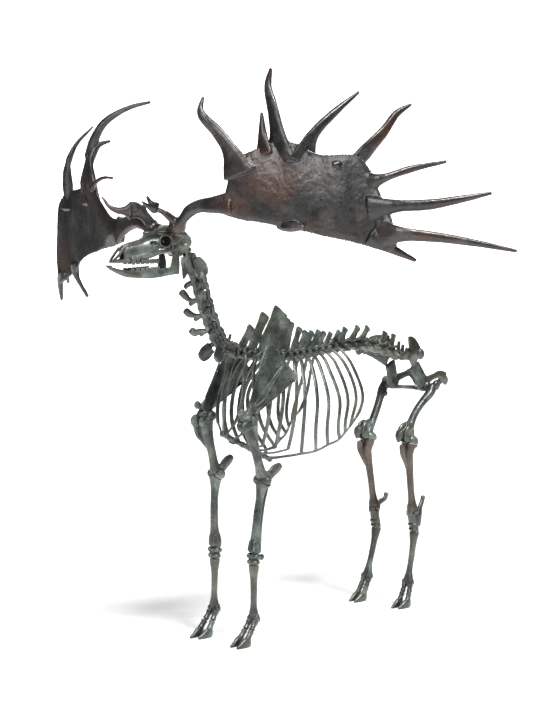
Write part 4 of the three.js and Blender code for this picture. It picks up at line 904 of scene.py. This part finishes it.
def rib_parts(side):
    flip = np.array([side, 1, 1])
    parts = []
    for k in range(1, 14):
        top, high, mid, low, end = rib_points(k)
        neck = top - (24, -6, 4)
        width = 15 - 0.35 * abs(k - 5)
        arm = mix(top, high, 0.45) + vec(10, 0, 14)
        course = (
            (neck, 8, 9), (top, 9, 8), (arm, width * 0.8, 8), (high, width, 7.5), (mid, width, 6.5),
            (low, width * 1.05, 6), (end, width * 0.85, 6),
        )
        rows = [(*(np.array(p) * flip), w, t) for p, w, t in course]
        parts.append(tube(rows, (0, 1, 0), 12, 5))
        if k < 8:
            seat = sternum_at(min((k - 1) / 7 + 0.04, 0.9))
            bow = mix(end, seat, 0.5)
            parts.append(tube([(*(end * flip), 8, 6), (side * bow[0] * 1.05, bow[1], bow[2] - 8, 7, 6),
                               (side * 18, seat[1], seat[2], 7, 6)], (0, 1, 0), 10, 4))
    xiphoid = sternum_at(0.94)
    arch = [(side * 26, xiphoid[1], xiphoid[2], 8, 7)]
    for k in (7, 8, 9, 10, 11, 12, 13):
        arch.append((*(rib_points(k)[4] * flip), 7.5, 6.5))
    parts.append(tube(arch, (0, 0, 1), 10, 5))
    return parts


def sternum_parts():
    parts = []
    for k in range(7):
        t = (k + 0.5) / 7
        a, b = sternum_at(t - 0.066), sternum_at(t + 0.066)
        middle = mix(a, b, 0.5)
        parts.append(tube([(*a, 15, 17), (*middle, 11, 14), (*b, 15, 17)], per_gap=4))
    parts.append(tube([(*sternum_at(0.02), 9, 11), (*sternum_at(0.98), 9, 9)]))
    return parts


def build_trunk():
    trunk = {
        "thoracic_spine": kept(thoracic_parts(), NECK[7], CHEST_SLOPE),
        "lumbar_spine": kept(lumbar_parts(), (0, SACRUM_START_Y, 0), (0, -1, 0)),
        "sternum": sternum_parts(),
        "ribs_left": rib_parts(1),
        "ribs_right": rib_parts(-1),
    }
    for name, parts in trunk.items():
        bone([name], parts, "bone", voxel=2.6, smooth=3)


# Shoulder blade: a fan-shaped plate with a ridge on its outer face.
def scapula_parts(legs, s):
    socket = (legs["top"][0], legs["top"][1] - 6, legs["top"][2] + 12)
    crown = (s * 152, -300, 1466)
    wide = vec(-0.09 * s, -0.7, 0.71)
    extra = 26 if s < 0 else 0
    spans = ((0, 36, 36, 28), (0.07, 33, 38, 22), (0.16, 30, 38, 15), (0.28, 44, 56, 10), (0.5, 72, 90, 6),
             (0.78, 102, 134, 5), (0.95, 116, 146, 6), (1, 104, 130, 5))
    rows = []
    for t, rear, front, thick in spans:
        c = vec(*mix(socket, crown, t))
        rows.append((c - rear * wide, c, c + (front + extra * (1 - t)) * wide, thick))
    ridge = []
    for t, high, thick in ((0.2, 16, 6), (0.27, 34, 7), (0.4, 32, 5), (0.6, 24, 5), (0.8, 15, 5),
                           (0.95, 5, 5)):
        c = mix(socket, crown, t)
        ridge.append((c[0] + s * high * 0.55, c[1] - 14 * (1 - t) + 4, c[2] + 14 * (1 - t), high * 0.7,
                      thick))
    reach = 50 + extra
    return [
        plate(rows, (s, -0.06, 0.1)),
        tube(ridge),
        ball(socket, (36, 42, 28)),
        ball((socket[0] - s * 8, socket[1] - 0.75 * reach, socket[2] + 0.68 * reach), (15, 22, 22)),
        tube([(*low, 6, 5) for low, _, _, _ in rows[2:]]),
        tube([(*high, 5, 5) for _, _, high, _ in rows[2:]]),
    ]


# Long bones, drawn from the upper joint (0, 0, 0) to the lower joint (0, 0, -length).
def humerus_parts(length):
    return [
        tube([
            (4, 4, -22, 42, 44), (4, -2, -70, 31, 40), (2, -2, -130, 25, 30), (0, 0, -200, 22, 24),
            (0, 0, -262, 25, 24), (0, 0, -312, 38, 26),
        ]),
        ball((-4, 24, -8), (40, 40, 34)),
        ball((22, -46, -12), (23, 38, 36)),
        ball((-20, -40, -16), (18, 26, 30)),
        tube([(30, -44, -30, 12, 26), (34, -34, -90, 11, 24), (30, -16, -140, 8, 14),
              (24, -4, -180, 6, 8)]),
        tube([
            (-40, 0, -length + 4, 27), (-14, 0, -length + 4, 24), (0, 0, -length + 4, 19),
            (14, 0, -length + 4, 23), (38, 0, -length + 4, 23),
        ], (0, 1, 0)),
        tube([(-30, 24, -length + 42, 9, 13), (-30, 28, -length + 12, 9, 12)]),
        tube([(28, 22, -length + 42, 9, 13), (28, 26, -length + 12, 8, 11)]),
    ]


def radius_ulna_parts(length):
    return [
        tube([
            (0, -4, 0, 42, 26), (0, -4, -22, 40, 24), (0, -8, -60, 29, 18), (0, -12, -180, 25, 17),
            (0, -8, -290, 28, 18), (0, 0, -length + 26, 40, 26), (0, 0, -length + 2, 38, 24),
        ]),
        tube([
            (0, 46, 46, 13, 30), (0, 38, 6, 13, 18), (4, 28, -34, 12, 13), (8, 16, -120, 9, 9),
            (12, 12, -230, 8, 8), (18, 14, -length + 30, 10, 12),
        ]),
        tube([(0, 44, 30, 14, 28), (0, 76, 60, 13, 30), (0, 100, 76, 16, 26), (0, 112, 86, 18, 20)]),
        ball((34, 2, -14), (16, 20, 14)),
        tube([(-16, -26, -length + 60, 6, 8), (-18, -26, -length + 12, 8, 8)]),
        tube([(14, -26, -length + 60, 6, 8), (16, -26, -length + 12, 8, 8)]),
    ]


def carpus_parts(height):
    parts = [tube([(0, 2, 2, 30, 20), (0, 2, -height - 2, 30, 20)])]
    for i in range(3):
        parts.append(ball(((i - 1) * 25, -2, -height * 0.25), (16, 26, height * 0.26)))
    for i in range(2):
        parts.append(ball(((i - 0.5) * 34, -2, -height * 0.75), (20, 26, height * 0.26)))
    parts.append(ball((20, 34, -height * 0.3), (11, 20, 17)))
    return parts


def cannon_parts(length, back):
    return [
        tube([
            (0, 2, 0, 31, 24), (0, 2, -18, 30, 23), (0, back, -60, 22, 19),
            (0, back, -length * 0.5, 18, 17),
            (0, 0, -length + 60, 21, 15), (0, 0, -length + 22, 31, 17), (0, 0, -length + 8, 30, 15),
        ]),
        tube([(-30, 0, -length, 20), (-8, 0, -length, 21)], (0, 1, 0), dome=0.3),
        tube([(8, 0, -length, 21), (30, 0, -length, 20)], (0, 1, 0), dome=0.3),
        ball((-17, 0, -length), (5, 24, 24)),
        ball((17, 0, -length), (5, 24, 24)),
        ball((-12, 20, -length + 12), (10, 9, 15)),
        ball((12, 20, -length + 12), (10, 9, 15)),
    ]


def femur_parts(length, neck, bow):
    return [
        ball((-neck, 0, 0), (29, 29, 29)),
        tube([(-neck + 6, 0, -4, 18, 20), (-neck / 3, 4, -12, 20, 24), (10, 6, -26, 26, 26)], (0, 1, 0)),
        tube([(8, 8, 6, 17, 30), (6, 2, -50, 27, 28), (0, bow * 0.5, -110, 23, 24), (-6, bow, -200, 22, 23),
              (-4, bow * 0.9, -280, 26, 26), (0, -6, -340, 38, 34)]),
        ball((16, 12, 14), (20, 30, 32)),
        ball((-22, 8, -70), (12, 14, 18)),
        tube([
            (-20, -36, -length + 84, 13, 18), (-22, -58, -length + 40, 15, 26),
            (-24, -52, -length + 4, 15, 26), (-26, -24, -length - 12, 14, 22),
        ]),
        tube([
            (20, -34, -length + 80, 12, 16), (22, -50, -length + 40, 13, 24),
            (23, -44, -length + 4, 13, 24),
            (24, -22, -length - 12, 13, 20),
        ]),
        tube([(0, -30, -length + 70, 14, 20), (0, -38, -length + 20, 16, 20)]),
        ball((-28, 20, -length + 8), (22, 40, 33)),
        ball((28, 20, -length + 8), (22, 40, 33)),
    ]


def patella_parts():
    return [tube([(0, 0, 36, 14, 9), (0, -2, 18, 25, 18), (0, -2, -6, 23, 18), (0, 4, -34, 9, 8)])]


def tibia_parts(length):
    return [
        tube([
            (0, 14, -8, 50, 36), (0, 12, -28, 46, 34), (2, 0, -70, 31, 30), (2, 0, -140, 23, 25),
            (0, 0, -250, 20, 20), (0, 0, -length + 60, 24, 20), (0, 0, -length + 22, 34, 26),
            (0, 0, -length, 32, 24),
        ]),
        tube([(4, -50, -18, 15, 22), (6, -54, -52, 11, 24), (6, -42, -100, 8, 18), (4, -24, -160, 6, 10)]),
        ball((42, 20, -26), (12, 14, 18)),
        ball((-24, 2, -length + 4), (12, 22, 20)),
        ball((24, 2, -length + 4), (12, 22, 20)),
    ]


def tarsus_parts(height, heel):
    x, y, z = heel
    return [
        tube([
            (-2, -6, 6, 24, 22), (-2, -8, -24, 26, 23), (0, -2, -height * 0.55, 29, 23),
            (0, 0, -height, 30, 24),
        ]),
        tube([(-16, -12, 8, 10, 22), (-16, -16, -16, 11, 20)]),
        tube([(12, -12, 8, 10, 22), (12, -16, -16, 11, 20)]),
        tube([
            (14, 22, -height * 0.72, 14, 16), (16, 36, -30, 13, 22), (12, 54, 8, 11, 19),
            (x, y - 10, z - 18, 11, 15), (x, y, z, 15, 15),
        ]),
        ball((0, -12, -height * 0.62), (31, 20, 12)),
        ball((0, -10, -height * 0.86), (30, 20, 11)),
    ]


def toe_parts(legs, toe):
    x, y, z = legs["fetlock"]
    away = math.copysign(1, toe[0] - x)
    start = (x + away * 18, y, z)
    heel = (toe[0] + away * 3, toe[1] + 84, 0)
    joint1 = (start[0] + (heel[0] - start[0]) * 0.55, y + (heel[1] - y) * 0.62, z * 0.6)
    joint2 = (start[0] + (heel[0] - start[0]) * 0.9, heel[1] - 6, z * 0.3)
    middle = mix((heel[0], heel[1], 16), (*toe, 8), 0.55)
    return [
        tube([
            (*start, 16, 22), (*mix(start, joint1, 0.22), 17, 22), (*mix(start, joint1, 0.6), 13, 15),
            (*mix(start, joint1, 0.9), 16, 18),
        ], dome=0.4),
        tube([
            (*mix(joint1, joint2, 0.12), 16, 19), (*mix(joint1, joint2, 0.5), 13, 16),
            (*mix(joint1, joint2, 0.92), 16, 19),
        ], dome=0.4),
        tube([(*mix(start, joint2, 0.3), 9, 9), (*mix(start, joint2, 0.9), 9, 9)]),
        tube([
            (heel[0], heel[1] + 4, 24, 14, 28), (heel[0], heel[1] - 12, 24, 17, 30), (*middle, 14, 24),
            (toe[0], toe[1] + 4, 6, 8, 10),
        ]),
        ball((start[0], y + 26, z + 2), (10, 10, 18)),
    ]


def distance(a, b):
    return float(np.linalg.norm(np.subtract(a, b)))


def segment(parts_of, upper, lower, s, *sizes):
    """The parts of a bone of side s, laid between its two joints."""
    return placed(parts_of(distance(upper, lower), *sizes), bone_frame(upper, lower, s))


def hinge(upper, joint, lower):
    return unit(unit(np.subtract(joint, upper)) + unit(np.subtract(lower, joint)))


def build_foot(legs, s, label, cannon_name, back):
    """Cannon bone and the two toes below it, which meet on one slope."""
    x, y, z = legs["fetlock"]
    seat = (x, y, z - FETLOCK_DROP)
    below = hinge(legs["low"], legs["cannon"], legs["fetlock"])
    cannon = segment(cannon_parts, legs["cannon"], legs["fetlock"], s, back)
    whole = kept(kept(cannon, legs["cannon"], below, 1.0), seat, -vec(*FETLOCK_SLOPE), 1.0)
    bone([cannon_name], whole, "bone", voxel=2.6, smooth=3)
    for toe in legs["toes"]:
        part = "_inner" if abs(toe[0]) < abs(x) else "_outer"
        away = (math.copysign(1, toe[0] - x), 0, 0)
        parts = kept(kept(toe_parts(legs, toe), seat, FETLOCK_SLOPE, 1.0), legs["fetlock"], away, 0.6)
        parts = kept(parts, (0, 0, 0), (0, 0, 1), 0.0)
        bone(["toe_" + label + part], parts, "bone", voxel=2.0, smooth=2, uneven=0.6)


def front_leg(side, s):
    legs = LEGS["front_" + side]
    top, bend, low, cannon = legs["top"], legs["bend"], legs["low"], legs["cannon"]
    wrist = hinge(bend, low, cannon)
    below = hinge(low, cannon, legs["fetlock"])
    axes = bone_frame(top, bend, s)
    head = placed([ball((-2, 14, -6), (44, 46, 40))], axes)
    bone(["scapula_" + side], scapula_parts(legs, s), "bone", voxel=2.6, smooth=4, holes=head)
    bone(["humerus_" + side], segment(humerus_parts, top, bend, s), "bone", voxel=2.8, smooth=4)
    elbow = 4 - distance(top, bend)
    roller = placed([tube([(-60, 0, elbow, 28), (60, 0, elbow, 25)], (0, 1, 0))], axes)
    forearm = kept(segment(radius_ulna_parts, bend, low, s), low, -wrist, 1.0)
    bone(["radius_ulna_" + side], forearm, "bone", voxel=2.8, smooth=4, holes=roller)
    carpus = kept(kept(segment(carpus_parts, low, cannon, s), low, wrist, 1.0), cannon, -below, 1.0)
    bone(["carpus_" + side], carpus, "bone", voxel=2.2, smooth=2)
    build_foot(legs, s, "front_" + side, "metacarpal_" + side, 2)


def hind_leg(side, s):
    legs = LEGS["hind_" + side]
    bend, low, cannon = legs["bend"], legs["low"], legs["cannon"]
    hip = (legs["top"][0] + s * FEMUR_NECK, legs["top"][1], legs["top"][2])
    knee = hinge(hip, bend, low)
    knee_seat = (bend[0], bend[1], bend[2] - KNEE_DROP)
    below = hinge(low, cannon, legs["fetlock"])
    femur = kept(segment(femur_parts, hip, bend, s, FEMUR_NECK, FEMUR_BOW[side]), knee_seat, -knee, 1.0)
    bone(["femur_" + side], femur, "bone", voxel=2.8, smooth=4)
    tilt = math.radians(PATELLA_TILT)
    centre = (bend[0], bend[1] - PATELLA_AHEAD, bend[2] + PATELLA_UP)
    back, up = (0, math.cos(tilt), -math.sin(tilt)), (0, math.sin(tilt), math.cos(tilt))
    cap = placed(patella_parts(), (centre, (1, 0, 0), back, up))
    bone(["patella_" + side], cap, "bone", voxel=2.2, smooth=3)
    tibia = kept(segment(tibia_parts, bend, low, s), knee_seat, knee, 1.0)
    bone(["tibia_" + side], tibia, "shin", voxel=2.8, smooth=4)
    roller = placed([tube([(-60, 0, 4, 24), (60, 0, 4, 24)], (0, 1, 0))], bone_frame(low, cannon, s))
    tarsus = kept(segment(tarsus_parts, low, cannon, s, HEEL[side]), cannon, -below, 1.0)
    bone(["tarsus_" + side], tarsus, "bone", voxel=2.4, smooth=3, holes=roller)
    build_foot(legs, s, "hind_" + side, "metatarsal_" + side, 4)


def pelvis_parts():
    parts = []
    for s in (1, -1):
        at = on_side(s, 0)
        parts += [
            plate([
                (at(92, 868, 1318), at(86, 860, 1344), at(84, 846, 1366), 13),
                (at(112, 838, 1352), at(90, 832, 1378), at(66, 846, 1402), 11),
                (at(172, 796, 1394), at(124, 806, 1424), at(62, 846, 1452), 9),
                (at(222, 752, 1425), at(150, 792, 1480), at(58, 842, 1500), 11),
                (at(228, 762, 1462), at(150, 800, 1522), at(60, 838, 1530), 14),
            ], (s * 0.3, -0.8, 0.45)),
            ball(at(226, 752, 1442), (18, 28, 32)),
            tube([at(88, 868, 1362, 14, 46), at(98, 893, 1318, 19, 44), at(112, 920, 1268, 24, 44),
                  at(112, 966, 1272, 17, 28)]),
            ball(at(112, 922, 1252), (30, 46, 42)),
            tube([at(112, 950, 1272, 13, 26), at(106, 1030, 1290, 10, 20), at(108, 1075, 1298, 12, 26),
                  at(110, 1118, 1280, 16, 34)]),
            ball(at(110, 1130, 1262), (16, 20, 30)),
            tube([at(108, 1112, 1272, 15, 20), at(72, 1092, 1238, 12, 18), at(22, 1060, 1222, 16, 12),
                  at(0, 1050, 1218, 16, 12)], (0, 1, 0)),
            tube([
                at(98, 918, 1226, 16, 14), at(56, 930, 1226, 13, 12), at(0, 944, 1227, 16, 13),
            ], (0, 1, 0)),
            tube([at(16, 936, 1227, 17, 12), at(16, 1060, 1220, 17, 12)]),
        ]
    return parts


def build_legs():
    for side, s in (("left", 1), ("right", -1)):
        front_leg(side, s)
        hind_leg(side, s)
    bone(["sacrum"], sacrum_parts(), "bone", voxel=2.6, smooth=3)
    sockets = [ball(LEGS["hind_" + side]["top"], (31, 31, 31)) for side in ("left", "right")]
    bone(["pelvis"], pelvis_parts(), "bone", voxel=2.8, smooth=4, holes=sockets)


build_head()
build_antlers()
build_neck()
build_trunk()
build_legs()


# Floor, light and camera
def stage_sheet(name, width, depth, place, turned, glow):
    """White sheet of the studio, which shines a little itself."""
    bpy.ops.mesh.primitive_plane_add(size=1, location=place, rotation=turned)
    sheet = bpy.context.object
    sheet.name = name
    sheet.scale = (width, depth, 1)
    material, _, shader = nodes_of(name)
    shader.inputs["Base Color"].default_value = (0.97, 0.97, 0.97, 1)
    shader.inputs["Roughness"].default_value = 1.0
    shader.inputs["Specular IOR Level"].default_value = 0.0
    shader.inputs["Emission Color"].default_value = (1, 1, 1, 1)
    shader.inputs["Emission Strength"].default_value = glow
    sheet.data.materials.append(material)


def lamp(name, light, place, turned):
    obj = bpy.data.objects.new(name, light)
    obj.location = place
    obj.rotation_euler = turned
    bpy.context.scene.collection.objects.link(obj)


def build_stage():
    turn = math.radians(CAMERA_TURN)
    ahead = vec(-math.sin(turn), math.cos(turn), 0)
    stage_sheet("floor", STAGE_WIDTH, FLOOR_DEPTH, tuple(FLOOR_AHEAD * ahead), (0, 0, turn), FLOOR_GLOW)
    behind = BACKDROP_AHEAD * ahead + vec(0, 0, BACKDROP_HEIGHT / 2)
    stage_sheet("backdrop", STAGE_WIDTH, BACKDROP_HEIGHT, tuple(behind), (math.pi / 2, 0, turn),
                BACKDROP_GLOW)
    world = bpy.data.worlds.new("studio")
    bpy.context.scene.world = world
    world.use_nodes = True
    sky = world.node_tree.nodes["Background"]
    sky.inputs["Color"].default_value = (1, 1, 1, 1)
    sky.inputs["Strength"].default_value = SKY_STRENGTH
    sun = bpy.data.lights.new("key", "SUN")
    sun.energy = SUN_STRENGTH
    sun.angle = math.radians(SUN_WIDTH)
    lamp("key", sun, (0, 0, 0), (math.radians(SUN_TILT), 0, turn + math.radians(SUN_TILT)))
    panel = bpy.data.lights.new("front", "AREA")
    panel.size = PANEL_SIZE
    panel.energy = PANEL_POWER
    lamp("front", panel, PANEL_PLACE, (math.radians(PANEL_TILT), 0, math.radians(PANEL_TURN)))


def build_camera():
    turn = math.radians(CAMERA_TURN)
    across = vec(math.cos(turn), math.sin(turn), 0)
    ahead = vec(-math.sin(turn), math.cos(turn), 0)
    place = across * CAMERA_SIDE - ahead * CAMERA_DISTANCE + vec(0, 0, CAMERA_HEIGHT) - BOX_MIDDLE
    data = bpy.data.cameras.new("camera")
    data.sensor_width = SENSOR
    data.lens = FOCAL_PIXELS * SENSOR / IMAGE_HEIGHT
    data.clip_end = 100
    camera = bpy.data.objects.new("camera", data)
    camera.location = place * MM
    camera.rotation_euler = (math.radians(90 - CAMERA_DOWN), 0, turn)
    bpy.context.scene.collection.objects.link(camera)
    bpy.context.scene.camera = camera


build_stage()
build_camera()
bpy.context.scene.view_settings.view_transform = "Standard"
